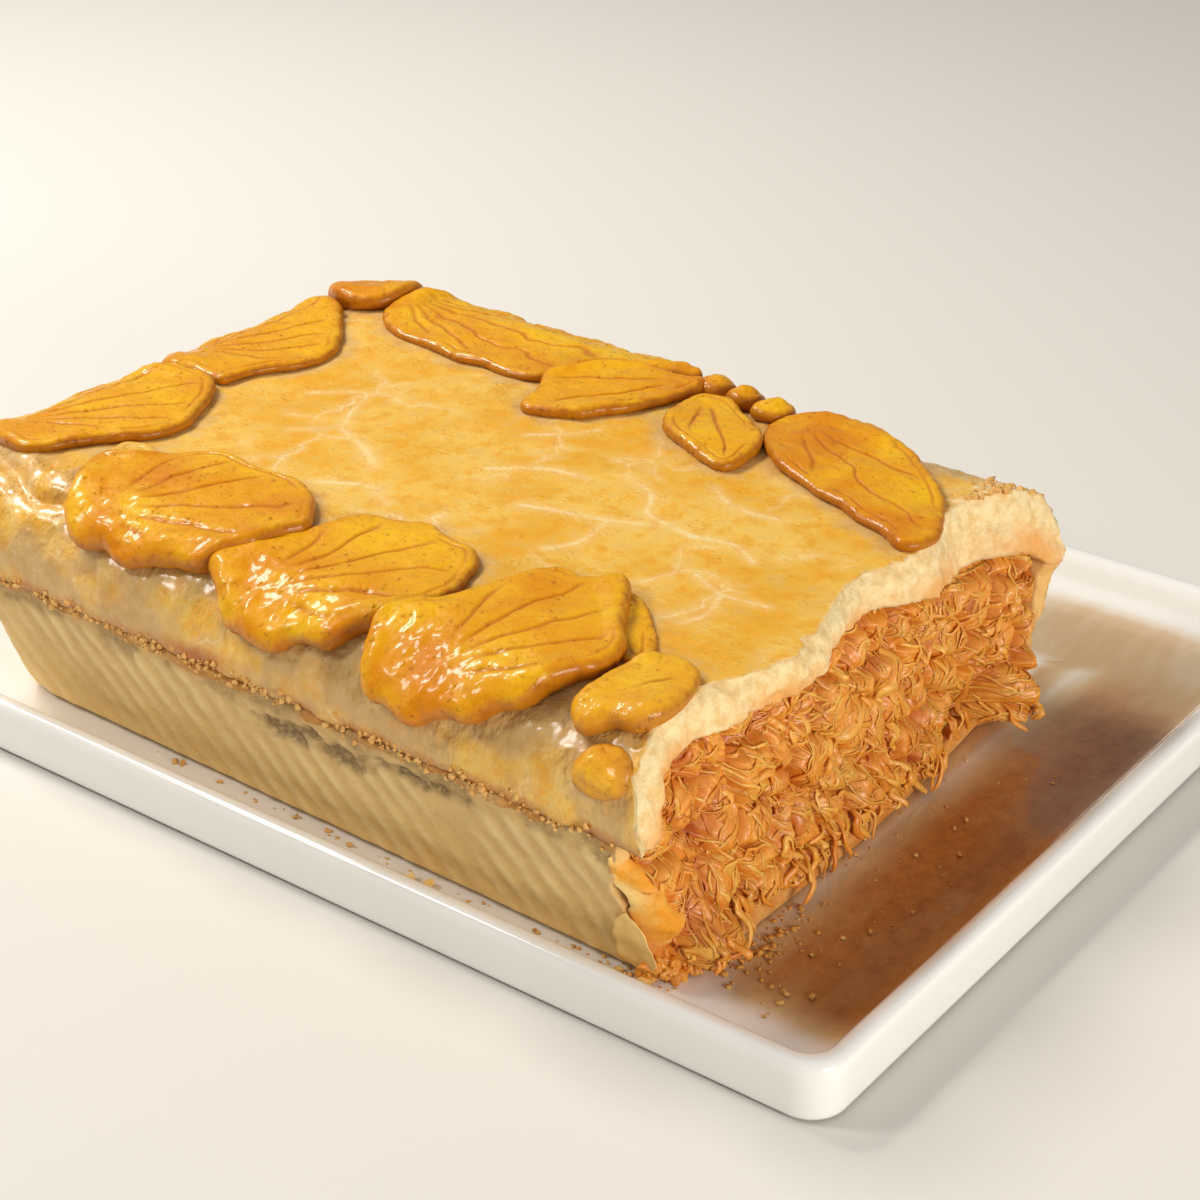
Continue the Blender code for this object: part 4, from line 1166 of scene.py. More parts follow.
WAD_Y, WAD_Z, WAD_TURN, WAD_OUT = place_wads()
PITS = [
    # hollows where a piece fell out: across, height, radius
    (-0.086, 0.036, 0.0036), (-0.071, 0.051, 0.0030), (-0.060, 0.024, 0.0028), (-0.047, 0.046, 0.0034),
    (-0.036, 0.030, 0.0026), (-0.020, 0.050, 0.0030), (-0.011, 0.020, 0.0028), (0.004, 0.041, 0.0032),
    (0.015, 0.052, 0.0026), (0.027, 0.030, 0.0028), (-0.094, 0.020, 0.0030), (-0.078, 0.014, 0.0034),
    (0.040, 0.041, 0.0026),
]


def wad_relief(y, z):
    """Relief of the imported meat, its creases and its fibres at places of the section.

    Each place belongs to its nearest wad; the gap to the next wad is 0 on a crease. The wad's relief is
    a soft step up from the crease, and fibres are noise stretched along the wad's own direction.
    """
    y, z = np.broadcast_arrays(y, z)
    shape = y.shape
    p = np.stack([0.0 * y, y, z], axis=-1).reshape(-1, 3)
    yw = p[:, 1] + 0.0034 * noise(p, 0.012, 45.0)
    zw = p[:, 2] + 0.0034 * noise(p, 0.012, 46.0)
    apart = np.hypot(yw[:, None] - WAD_Y, (zw[:, None] - WAD_Z) * 1.15)
    near = np.argmin(apart, axis=1)
    two = np.partition(apart, 1, axis=1)
    gap = two[:, 1] - two[:, 0]
    share = np.exp(-(apart - two[:, :1]) / 0.0011)
    out = (share @ WAD_OUT) / share.sum(axis=1)
    crease = np.exp(-gap / 0.0013)
    c, s = np.cos(WAD_TURN[near]), np.sin(WAD_TURN[near])
    dy, dz = yw - WAD_Y[near], zw - WAD_Z[near]
    along, across = c * dy + s * dz, c * dz - s * dy
    q = np.stack([along / 0.0065, across / 0.00095, 3.0 * near], axis=-1)
    fine = np.stack([along / 0.0045, across / 0.00055, 5.0 * near], axis=-1)
    fibre = noise(q, 1.0, 47.0) + 0.45 * noise(fine, 1.0, 48.0)
    pit = np.max([np.exp(-(((yw - py) ** 2 + 1.7 * (zw - pz) ** 2) / pr**2)) for py, pz, pr in PITS], axis=0)
    low = out + 0.0020 * ease(gap / 0.0060) - 0.0022 * crease - 0.0042 * pit
    crease = np.maximum(crease, pit)
    return low.reshape(shape), crease.reshape(shape), (fibre * ease(gap / 0.0012)).reshape(shape)


def wads(y, z):
    """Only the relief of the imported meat, without its fibres."""
    return wad_relief(y, z)[0]


def filling_face(y, z):
    """X of the meat's surface: it bulges, leans back to the lid and slumps at both lower corners."""
    lean = 0.0025 * (z - 0.030) / 0.030
    hollow = 0.0060 * hill(y, 0.026, 0.008) * hill(z, 0.012, 0.009)
    far_slump = 0.0085 * hill(y, 0.0420, 0.009) * hill(z, 0.010, 0.013)
    near_slump = 0.0095 * hill(y, -0.0940, 0.0085) * hill(z, 0.009, 0.012)
    face = CUT + 0.0005 - lean - hollow + far_slump + near_slump + 0.0050 * hill(y, 0.055, 0.018)
    low = (1.0 - ease((z - 0.0080) / 0.0240)) * (1.0 - ease((y - 0.030) / 0.012))
    return face + np.maximum(base_edge(y) - CUT, -0.002) * low


BED_FLOOR = FLOOR_TOP + 2 * GAP + CRUST
BED_ROWS, BED_COLUMNS = 178, 500
MEAT_BACK = 0.0014  # the bed lies this far behind the face, so that the shreds end on it


def side_lines(z):
    """Y of the filling's near and far sides at a height, inside the case's wall."""
    t = np.clip((z - FLOOR_TOP) / (SEAM_HEIGHT - FLOOR_TOP), 0.0, 1.15)
    inset = CRUST + GAP
    return FOOT[1] + (SEAM[1] - FOOT[1]) * t + inset, FOOT[2] + (SEAM[2] - FOOT[2]) * t - inset


def build_bed():
    """The meat's body: a fine grid of its cut face, whose border runs back and closes on a far middle.

    X of the face = face(y, z) - back + wads + fibres + rough relief, and it turns in at the border.
    """
    u = np.linspace(0.0, 1.0, BED_COLUMNS)[None, :]
    v = np.linspace(0.0, 1.0, BED_ROWS)[:, None]
    near, far = side_lines(SEAM_HEIGHT)
    y_high = near + (far - near) * u
    roof = np.maximum(lid_under(np.full_like(y_high, CUT - 0.012), y_high) - 0.0007, SEAM_HEIGHT - 0.0010)
    z = BED_FLOOR + (roof - BED_FLOOR) * v
    near, far = side_lines(z)
    y = near + (far - near) * u
    low, crease, fibre = wad_relief(y, z)
    p = np.stack([0 * y, y, z], axis=-1)
    border = np.minimum(np.minimum(y - near, far - y), np.minimum(roof - z, z - BED_FLOOR + 0.0010))
    x = filling_face(y, z) - MEAT_BACK + low + 0.00020 * fibre + 0.00055 * rough(p, 0.0040, 3, 44.0)
    x -= 0.0034 * (1.0 - ease(border / 0.0032))
    front = np.stack([x, y, z], axis=-1)
    rows, columns = x.shape
    ids = np.arange(rows * columns).reshape(rows, columns)
    loop = np.concatenate([ids[0], ids[1:, -1], ids[-1, -2::-1], ids[-2:0:-1, 0]])
    edge = front.reshape(-1, 3)[loop]
    count = len(loop)
    rings = []
    for back in (0.60, 0.20, -0.20, -0.60, -0.785):
        ring = edge.copy()
        ring[:, 0] = CUT * back
        rings.append(ring)
    points = np.vstack([front.reshape(-1, 3), *rings, [[CUT * back, edge[:, 1].mean(), 0.034]]])
    base = rows * columns
    j = np.arange(count)
    k = np.roll(j, -1)
    last = base + (len(rings) - 1) * count
    faces = [grid_faces(rows, columns), np.stack([loop[j], loop[k], base + k, base + j], axis=1),
             grid_faces(len(rings), count, closed=True, start=base),
             np.stack([last + j, last + k, np.full(count, last + count)], axis=1)]
    pooled = ease((noise(p, 0.015, 66.0) - 0.42) / 0.25) * ease(0.6 + noise(p, 0.003, 67.0))
    # Creases and pits are painted dark as shade; the pools are sauce
    sauce_and_shade = np.clip(0.75 * crease + 0.9 * pooled, 0, 1)
    rest = np.zeros(len(points) - x.size)
    values = {"sauce_and_shade": np.concatenate([sauce_and_shade.ravel(), rest]),
              "tint": np.concatenate([np.clip(0.45 + 0.55 * fibre, 0, 1).ravel(), rest])}
    piece("filling_bed", into_dish(points), faces, LOOKS["bed"], ["filling"], values)


build_bed()


# %% Shreds of chicken
def tubes(paths, radii, sides, flat=1.0, turn=None):
    """Closed tubes along many paths at once: point = path + r (cos a * side + flat sin a * up).

    paths is (n, steps, 3) and radii (n, steps). The ring's frame comes from the path's direction and +X,
    turned by an angle for each tube. Gives the points, the faces and how many points one tube has.
    """
    n, steps = paths.shape[:2]
    along = np.gradient(paths, axis=1)
    along /= np.linalg.norm(along, axis=-1, keepdims=True) + 1e-12
    out = np.zeros_like(along)
    out[..., 0] = 1.0
    side = np.cross(along, out)
    side /= np.linalg.norm(side, axis=-1, keepdims=True) + 1e-9
    up = np.cross(side, along)
    if turn is not None:
        c, s = np.cos(turn)[:, None, None], np.sin(turn)[:, None, None]
        side, up = c * side + s * up, c * up - s * side
    angle = 2 * np.pi * np.arange(sides) / sides
    ring = (np.cos(angle)[:, None] * side[:, :, None, :] + flat * np.sin(angle)[:, None] * up[:, :, None, :])
    body = paths[:, :, None, :] + radii[:, :, None, None] * ring
    body = body.reshape(n, steps * sides, 3)
    first, last = along[:, 0] * radii[:, :1], along[:, -1] * radii[:, -1:]
    tips = np.stack([paths[:, 0] - first, paths[:, -1] + last], axis=1)
    points = np.concatenate([body, tips], axis=1)
    one = grid_faces(steps, sides, closed=True)[:, ::-1]
    j = np.arange(sides)
    k = np.roll(j, -1)
    end = (steps - 1) * sides
    tip = np.full(sides, steps * sides)
    caps = np.vstack([np.stack([j, k, tip], axis=1), np.stack([end + k, end + j, tip + 1], axis=1)])
    size = points.shape[1]
    offset = (np.arange(n) * size)[:, None, None]
    faces = [(one + offset).reshape(-1, 4), (caps + offset).reshape(-1, 3)]
    return points.reshape(-1, 3), faces, size


def lay_shreds(name, count, steps, sides, length, radius, rise, seed, pale, wander=0.7, flat=0.62):
    """Shreds pressed into the face: each starts along its wad's fibres, bends and wiggles, and humps up.

    length, radius and rise are each (least, most). X = bed + rise * cos(pi t) - 0.9 r, so both ends dive in.
    """
    rng = np.random.default_rng(seed)
    z0 = BED_FLOOR + rng.random(count) * 0.0560
    near, far = side_lines(z0)
    y0 = near + rng.random(count) * (far - near)
    long = length[0] + (length[1] - length[0]) * rng.random(count) ** 1.6
    thick = radius[0] + (radius[1] - radius[0]) * rng.random(count) ** 1.5
    wad = np.argmin(np.hypot(y0[:, None] - WAD_Y, z0[:, None] - WAD_Z), axis=1)
    angle = WAD_TURN[wad] + 0.45 * rng.standard_normal(count)
    bend = wander * rng.standard_normal(count) * 2.2
    t = np.linspace(-0.5, 0.5, steps)[None, :]
    wiggle = 0.35 * np.sin(2 * np.pi * (t * rng.uniform(1.0, 2.4, (count, 1)) + rng.random((count, 1))))
    heading = angle[:, None] + bend[:, None] * t + wiggle * wander
    step = long[:, None] / (steps - 1)
    y = np.cumsum(np.cos(heading) * step, axis=1)
    z = np.cumsum(np.sin(heading) * step, axis=1)
    y += y0[:, None] - y.mean(axis=1, keepdims=True)
    z += z0[:, None] - z.mean(axis=1, keepdims=True)
    near, far = side_lines(z)
    r = thick[:, None] * np.sqrt(np.maximum(1.0 - (2.0 * np.abs(t)) ** 3, 0.06))
    # A shred that would leave the section is pressed back against the crust
    y = np.clip(y, near + r, far - r)
    roof = np.maximum(lid_under(np.full_like(y, CUT - 0.010), y) - 0.0009, SEAM_HEIGHT - 0.001) - r
    z = np.clip(z, BED_FLOOR + r, np.maximum(roof, BED_FLOOR + r + 0.001))
    hump = np.cos(np.pi * t * rng.uniform(0.75, 1.0, (count, 1)))
    lift = rise[0] + (rise[1] - rise[0]) * rng.random((count, 1)) ** 1.4
    x = filling_face(y, z) - MEAT_BACK + wads(y, z) + lift * hump - 0.90 * r
    edge = np.minimum(np.minimum(y - near, far - y), roof - z)
    x -= 0.0024 * ease((0.0030 - edge) / 0.0030)
    paths = np.stack([x, y, z], axis=-1)
    points, faces, size = tubes(paths, r, sides, flat, rng.uniform(-0.7, 0.7, count))
    tint = pale + 0.22 * rng.standard_normal(count) + 0.30 * noise(paths[:, steps // 2], 0.018, 61.0)
    height = wads(y0, z0) + 0.7 * lift[:, 0]
    pooled = ease((noise(paths[:, 0], 0.012, 66.0) - 0.45) / 0.3)
    # Shreds that lie low are painted darker as shade; the pools are sauce
    sauce_and_shade = np.clip(0.85 * ease((0.0004 - height) / 0.0022) + 0.5 * pooled, 0, 0.9)
    values = {"tint": np.repeat(np.clip(tint, 0, 1), size), "sauce_and_shade": np.repeat(sauce_and_shade, size)}
    piece(name, into_dish(points), faces, LOOKS["shred"], values=values, weld=False)


lay_shreds("chicken_shreds", 560, 14, 6, (0.007, 0.018), (0.0005, 0.0009), (0.0000, 0.0009), 11, 0.50,
           flat=0.5)
lay_shreds("chicken_strips", 130, 16, 8, (0.009, 0.018), (0.0012, 0.0020), (0.0002, 0.0016), 15, 0.62,
           wander=1.2, flat=0.34)
lay_shreds("chicken_fibres", 560, 12, 4, (0.006, 0.018), (0.00020, 0.00042), (0.0001, 0.0010), 12, 0.72,
           wander=0.8)
lay_shreds("chicken_curls", 90, 18, 7, (0.010, 0.020), (0.0008, 0.0013), (0.0004, 0.0022), 13, 0.55,
           wander=1.3, flat=0.42)


def hang_shreds(count, steps, seed):
    """Shreds that hang over the broken base: from the face down past it to just above the dish."""
    rng = np.random.default_rng(seed)
    y0 = rng.uniform(-0.100, 0.046, count)
    drop = 0.003 + 0.0062 * rng.random(count) ** 1.5
    t = np.linspace(0.0, 1.0, steps)[None, :]
    z = 0.0150 + (0.0135 - drop[:, None] - 0.0150) * t
    sway = rng.uniform(-0.004, 0.004, (count, 1))
    y = y0[:, None] + sway * t + 0.0008 * np.sin(6.0 * t + 6.0 * rng.random((count, 1)))
    thick = rng.uniform(0.0005, 0.0012, (count, 1))
    r = thick * np.sqrt(np.maximum(1.0 - np.abs(2.0 * t - 1.0) ** 3, 0.06))
    face = filling_face(y, z) - MEAT_BACK + wads(y, z)
    x = np.maximum(face, case_break(y, np.minimum(z, 0.0095)) + 0.0003) + 0.6 * r + 0.0006
    x[:, 0] -= 0.0015
    paths = np.stack([x, y, z], axis=-1)
    points, faces, size = tubes(paths, r, 6, 0.6, rng.uniform(-0.7, 0.7, count))
    tint = np.clip(0.45 + 0.25 * rng.standard_normal(count), 0, 1)
    values = {"tint": np.repeat(tint, size), "sauce_and_shade": np.repeat(0.35 * rng.random(count), size)}
    piece("hanging_shreds", into_dish(points), faces, LOOKS["shred"], values=values,
          weld=False)


hang_shreds(48, 10, 14)

# %% [markdown]
# ## Pastry leaves
#
# Each leaf is a slab carried inwards from its outline in rings, then draped. Its edge is rounded like a
# thumb-pressed rim, thicker at the side that hangs over the shoulder, where the soft dough crept down as
# it baked. Veins were scored with a knife, so they fan from the stalk as shallow valleys. Values kept on
# each point say how deep in a vein and how near the edge it lies, and the finish reads them.

# %% Leaves
PALENESS = {"button": 0.22, "dough_scrap": 1.0, "leaf_near_small": 0.15}  # pieces that took less wash
RIM_TURNS = np.radians([12, 26, 42, 58, 74, 90, 108, 128, 150])


def build_leaf(name, knots, thick, origin, fan, browning):
    """A piece of dough on the lid: rings from its hub to its rim, then round the rim's quarter circle.

    Its height is its thickness, plus a dome on the small balls, slow swells, fat lobes over the shoulder,
    and less where a vein is scored: a bell across the angle from the vein's own direction. The whole is
    draped over the lid, and its underside lies a little in the lid's dough.
    """
    small = thick > 5.5 and len(knots) <= 8 and name != "leaf_far_corner"
    around, rows = (96, 22) if small or len(knots) <= 8 else (230, 52)
    thick = thick * MM
    outline = closed_curve(knots, around)
    middle = outline.mean(axis=0)
    tangent = np.roll(outline, -1, axis=0) - np.roll(outline, 1, axis=0)
    out = np.stack([tangent[:, 1], -tangent[:, 0]], axis=1)
    out /= np.linalg.norm(out, axis=1, keepdims=True)
    area = np.sum(outline[:, 0] * np.roll(outline[:, 1], -1) - outline[:, 1] * np.roll(outline[:, 0], -1))
    out *= np.sign(area)
    for _ in range(6 if small else 14):
        outline = (outline + np.roll(outline, 1, axis=0) + np.roll(outline, -1, axis=0)) / 3
        out = (out + np.roll(out, 1, axis=0) + np.roll(out, -1, axis=0)) / 3
    places = flat_place(*outline.T)
    wobble = 0.00035 * noise(places, 0.0045, 71.0) + 0.0002 * noise(places, 0.0018, 72.0)
    outline = outline + out * wobble[:, None]
    edge = min(0.0024, thick * 0.45)
    # From the hub over the top to the rim, then round the rim's quarter circle and a little underneath
    share = np.linspace(0.0, 1.0, rows)[1:] ** 0.8
    rings, lifts, rim, sides = [], [], [], []
    full = outline - out * edge
    for s in share:
        rings.append(middle + (full - middle) * s)
        lifts.append(np.full(around, 1.0))
        rim.append(np.full(around, s))
        sides.append(np.zeros(around))
    # Round the rim, side says how far round a point lies; the finish paints shade there
    for a in RIM_TURNS:
        rings.append(full + out * edge * math.sin(a))
        lifts.append(np.full(around, 0.5 + 0.5 * math.cos(a)))
        rim.append(np.full(around, 1.0))
        sides.append(np.full(around, float(ease((math.degrees(a) - 22) / 46))))
    xy, lift, rim, side = np.array(rings), np.array(lifts), np.array(rim), np.array(sides)
    x, y = xy[..., 0], xy[..., 1]
    p = flat_place(x, y)
    inside = -distance_to(outline, x, y)
    stalk = np.array(origin) * MM
    reach = np.hypot(x - stalk[0], y - stalk[1])
    angle = np.degrees(np.arctan2(y - stalk[1], x - stalk[0]))
    off = (angle - fan[0] + 180.0) % 360.0 - 180.0 + 5.0 * noise(p, 0.018, 73.0) + 1.5 * noise(p, 0.006, 78.0)
    vein = np.zeros_like(x)
    if not small and name not in ("stem_strip", "dough_scrap"):
        for k in np.linspace(-1.0, 1.0, 3 if len(knots) < 14 or name == "leaf_far_right" else 6):
            apart = np.radians(off - k * fan[1] * 0.85) * reach
            on = ease((reach - 0.006) / 0.008) * ease((inside - 0.0030) / 0.0040)
            on = on * (np.abs(off - k * fan[1]) < 60)
            vein = np.maximum(vein, np.exp(-((apart / 0.00060) ** 2)) * on)
    swell = 0.00060 * noise(p, 0.015, 74.0) + 0.00022 * noise(p, 0.006, 79.0)
    swell = swell + 0.00012 * rough(p, 0.0032, 2, 75.0)
    dome_share = 0.50 if name == "button" else 0.25 if small else 0.0
    dome = thick * dome_share * (1.0 - (rim * 0.9) ** 2)
    down = ease((0.026 - lid_depth(x, y)) / 0.016)  # over the shoulder the rim is fatter and lumpier
    lobes = down * hill(inside, 0.0042, 0.0036) * (0.0013 + 0.0016 * noise(p, 0.011, 76.0))
    flat_share = 0.66 if name in UPPER else 0.50
    body = thick * (flat_share + (0.92 - flat_share) * down)
    if small:
        body = thick * (0.20 if name == "button" else 0.62)
    # A faint line just inside the rim, where the cutter dragged the dough
    inner_line = hill(inside, 0.0030 + 0.0006 * noise(p, 0.009, 80.0), 0.00045)
    inner_line = inner_line * ease(0.45 + 1.6 * noise(p, 0.014, 81.0))
    if not small:
        vein = np.maximum(vein, 0.8 * inner_line * (1.0 - down))
    top = body + dome + swell + lobes + 0.0004 * down * rough(p, 0.0036, 2, 83.0) - 0.00042 * vein
    if name in UPPER:
        others = [o for n, o in OUTLINES.items() if n != name and n not in UPPER[:3]]
        lower = np.min([distance_to(o[::2], x, y) for o in others], axis=0)
        top = top + 0.0012 * ease((0.003 - lower) / 0.004)
    height = -0.0006 + (top + 0.0006) * lift
    points = drape(x, y, height + 0.0002 * (1 - lift))
    hub_xy = middle[None]
    hub = drape(hub_xy[:, 0], hub_xy[:, 1], np.array([top[0].mean()]))
    foot = drape(hub_xy[:, 0], hub_xy[:, 1], np.array([-0.0010]))
    lower_ring = [middle + (full - middle) * s for s in (0.66, 0.33)]
    under = [drape(r[:, 0], r[:, 1], np.full(around, -0.0008)) for r in lower_ring]
    grid = np.concatenate([points, np.array(under)])
    total, columns = grid.shape[:2]
    j = np.arange(columns)
    k = np.roll(j, -1)
    last, hub_index = (total - 1) * columns, total * columns
    faces = [grid_faces(total, columns, closed=True),
             np.stack([k, j, np.full(columns, hub_index)], axis=1),
             np.stack([last + j, last + k, np.full(columns, hub_index + 1)], axis=1)]
    every = np.vstack([grid.reshape(-1, 3), hub, foot])
    pad = np.zeros(len(every) - x.size)
    # Scorched in patches and round the stalk, and darker along the rim over the shoulder
    scorch = browning * (0.45 + 0.55 * ease(0.5 + 0.8 * noise(p, 0.022, 77.0)))
    scorch = scorch + 0.35 * hill(reach, 0.0, 0.016)
    scorch = scorch + 0.8 * down * ease((0.0050 - inside) / 0.0040) * ease(0.7 + 1.2 * noise(p, 0.008, 82.0))
    rim_mark = hill(inside, 0.0006, 0.0014) * (side < 0.9)
    brown = np.clip(1.25 * scorch, 0, 1)
    pale = PALENESS.get(name, 0.0) + 0 * x
    values = {"vein": vein, "edge": rim_mark, "side": side, "brown": brown, "pale": pale}
    values = {key: np.concatenate([v.ravel(), pad]) for key, v in values.items()}
    piece("pastry_" + name, into_dish(every), faces, LOOKS["leaf"], [name], values)


for leaf_name, leaf in LEAVES.items():
    build_leaf(leaf_name, *leaf)

# %% [markdown]
# ## Torn crust at the cut
#
# At the near corner the inner layer of the wall bulged out with the filling, soaked orange at its fold,
# and pale flakes hang off the wall's edge and lie on the dish. Each is a bent sheet: a grid of points,
# a second grid a thickness below it, and a strip round the border that joins them.

# %% Torn sheet and flakes
def sheets(name, grids, thick, look, values_of):
    """Closed thin sheets: each is its grid, the grid moved in by a thickness, and a strip round it."""
    points, faces, values, start = [], [], [], 0
    for grid, (depth, mark) in zip(grids, zip(thick, values_of)):
        rows, columns = grid.shape[:2]
        flow = np.cross(np.gradient(grid, axis=0), np.gradient(grid, axis=1))
        flow /= np.linalg.norm(flow, axis=-1, keepdims=True) + 1e-12
        i, j = np.meshgrid(np.linspace(-1, 1, rows), np.linspace(-1, 1, columns), indexing="ij")
        thin = depth * (1.0 - 0.75 * np.maximum(np.abs(i), np.abs(j)) ** 4)
        under = grid - flow * thin[..., None]
        ids = start + np.arange(rows * columns).reshape(rows, columns)
        loop = np.concatenate([ids[0], ids[1:, -1], ids[-1, -2::-1], ids[-2:0:-1, 0]])
        k = np.roll(loop, -1)
        shift = rows * columns
        top = grid_faces(rows, columns, start=start)
        faces += [top, top[:, ::-1] + shift, np.stack([loop, loop + shift, k + shift, k], axis=1)]
        points += [grid.reshape(-1, 3), under.reshape(-1, 3)]
        values += [mark.ravel(), mark.ravel()]
        start += 2 * shift
    every = np.concatenate(values)
    return piece(name, into_dish(np.vstack(points)), faces, look, values={"tint": every})


def chip(rows, columns, seed):
    """A square grid from -0.5 to 0.5 pulled into a ragged disc: a * sqrt(1 - 2 b^2), times noise round it."""
    a, b = np.meshgrid(np.linspace(-0.5, 0.5, rows), np.linspace(-0.5, 0.5, columns), indexing="ij")
    a, b = a * np.sqrt(1.0 - 2.0 * b**2), b * np.sqrt(1.0 - 2.0 * a**2)
    turn = np.arctan2(b, a)
    ragged = 1.0 + 0.25 * noise(np.stack([np.cos(turn), np.sin(turn), 0 * a], axis=-1), 0.55, seed)
    return a * ragged, b * ragged


def wall_y(z):
    """Y of the near wall at a height: a straight line from the foot to the seam."""
    return FOOT[1] + (SEAM[1] - FOOT[1]) * (z - FLOOR_TOP) / (SEAM_HEIGHT - FLOOR_TOP)


# Flakes that hang on the near wall: X, height, width, height of the flake, lean off the wall, turn
HANGING_FLAKES = [(0.1168, 0.0160, 0.0105, 0.0180, 0.0008, 0.20)]
# Flakes that lie on the dish: X, Y and width
FALLEN_FLAKES = [
    (0.1129, -0.1085, 0.0062), (0.1085, -0.1100, 0.0042), (0.1190, -0.1060, 0.0050),
    (0.0507, -0.1085, 0.0032), (0.0560, -0.1075, 0.0040), (0.0970, -0.1080, 0.0030),
]


def build_torn():
    """The bulged inner layer, out by a power of a sine up the wall and a sine along it, and the flakes."""
    v = np.linspace(0.0, 1.0, 44)[:, None]
    u = np.linspace(0.0, 1.0, 30)[None, :]
    z = 0.0085 + 0.0330 * v + 0.0014 * np.sin(5.0 * u) * (v - 0.5)
    y = wall_y(z) + 0.0004 + (0.0092 + 0.0030 * np.sin(4.0 * v)) * u
    p = np.stack([0 * y, y, z], axis=-1)
    bulge = np.sin(np.pi * v) ** 0.8 * (0.20 + 0.80 * np.sin(np.pi * (0.06 + 0.74 * u)))
    x = CUT - 0.0080 + 0.0110 * bulge + 0.0034 * rough(p, 0.0100, 4, 91.0) - 0.0050 * u**3
    z = z + 0.0012 * noise(p, 0.006, 98.0)
    bulged = np.stack([x, y, z], axis=-1)
    stained = np.clip(0.42 + 1.1 * noise(p, 0.009, 92.0) + 0.5 * (u - 0.3), 0, 1.0)
    grids, thick, marks = [bulged], [0.0011], [stained]
    rng = np.random.default_rng(93)
    for x0, z0, wide, tall, lean, turn in HANGING_FLAKES:
        a, b = chip(18, 16, 3.0 + 50 * x0)
        c, s = math.cos(turn), math.sin(turn)
        fx = x0 + wide * (c * b - s * a) * (1.0 - 0.5 * a)
        fz = z0 + tall * (c * a + s * b)
        q = np.stack([fx, 0 * fx, fz], axis=-1)
        fx = fx + 0.0008 * noise(q, 0.004, 94.0)
        off = lean * (0.45 + 1.6 * np.abs(b) ** 2) + 0.0005 * noise(q, 0.005, 95.0)
        grids.append(np.stack([fx, wall_y(fz) - 0.0006 - off, fz], axis=-1)[:, ::-1])
        thick.append(0.0006)
        marks.append(0 * fx)
    for x0, y0, wide in FALLEN_FLAKES:
        a, b = chip(11, 11, 5.0 + 90 * x0)
        turn = rng.uniform(0, 3.0)
        c, s = math.cos(turn), math.sin(turn)
        fx = x0 + wide * (c * a - 0.6 * s * b)
        fy = y0 + wide * (s * a + 0.6 * c * b)
        q = np.stack([fx, fy, 0 * fx], axis=-1)
        fz = FLOOR_TOP + 0.0011 + 0.0022 * (a**2 + 0.4 * b**2) + 0.0004 * noise(q, 0.003, 96.0)
        grids.append(np.stack([fx + 0.0004 * noise(q, 0.002, 97.0), fy, fz], axis=-1))
        thick.append(0.0006)
        marks.append(0.15 + 0 * fx)
    sheets("torn_crust", grids, thick, LOOKS["torn"], marks)


build_torn()

# %% [markdown]
# ## Crumbs and flakes
#
# Cutting short pastry leaves crumbs along the cut and flakes at its corners. A crumb is a lumpy little
# solid and a flake a thin bent chip. They are small, so each has few faces, and all of a kind are one
# mesh.

# %% Loose crumbs
def lumps(name, centres, sizes, tints, squash, look, seed, detail=1, relief=0.0):
    """Crumbs: a small icosphere whose corners are pushed in and out at random, one for each centre.

    detail is the icosphere's subdivision, and relief roughens larger lumps with noise of two sizes.
    """
    rng = np.random.default_rng(seed)
    bm = bmesh.new()
    bmesh.ops.create_icosphere(bm, subdivisions=detail, radius=1.0)
    unit = np.array([v.co[:] for v in bm.verts])
    tri = np.array([[v.index for v in f.verts] for f in bm.faces])
    bm.free()
    n = len(centres)
    turn = rng.uniform(0, 2 * np.pi, n)
    shape = unit[None] * (1.0 + 0.38 / detail**1.7 * rng.standard_normal((n, len(unit), 1)))
    stretch = np.stack([np.ones(n), rng.uniform(0.6, 1.1, n), squash * np.ones(n)], axis=1)
    shape = shape * sizes[:, None, None] * stretch[:, None]
    c, s = np.cos(turn)[:, None], np.sin(turn)[:, None]
    sx, sy, sz = np.moveaxis(shape, -1, 0)
    shape = np.stack([c * sx - s * sy, s * sx + c * sy, sz], axis=-1)
    points = shape + centres[:, None]
    if relief:
        bumps = rough(points, 0.0030, 3, 34.0) + 0.6 * noise(points, 0.0010, 35.0)
        points = points + relief * shape * bumps[..., None]
    faces = (tri[None] + (np.arange(n) * len(unit))[:, None, None]).reshape(-1, 3)
    values = {"tint": np.repeat(tints, len(unit))}
    piece(name, points.reshape(-1, 3), [faces], look, values=values, weld=False)


CRUMB_PATCHES = [
    # how many crumbs, and their spans of X and Y: by the near wall, past the cut, at its corner, further out
    (46, (-0.04, 0.118), (-0.1062, -0.1042)), (60, (0.124, 0.150), (-0.095, 0.030)),
    (34, (0.104, 0.126), (-0.1085, -0.1010)), (14, (0.140, 0.152), (-0.100, -0.030)),
]


def scatter_crumbs():
    """Crumbs on the dish's floor, at even chance over each patch; a size is the cube of chance."""
    rng = np.random.default_rng(5)
    spots = []
    for count, x_span, y_span in CRUMB_PATCHES:
        spots.append(np.column_stack([rng.uniform(*x_span, count), rng.uniform(*y_span, count)]))
    flat = np.vstack(spots)
    size = 0.00028 + 0.00075 * rng.random(len(flat)) ** 3
    centres = into_dish(np.column_stack([flat, FLOOR_TOP + 0.45 * size]))
    lumps("crust_crumbs", centres, size, rng.random(len(flat)), 0.6, LOOKS["crumb"], 6)


scatter_crumbs()


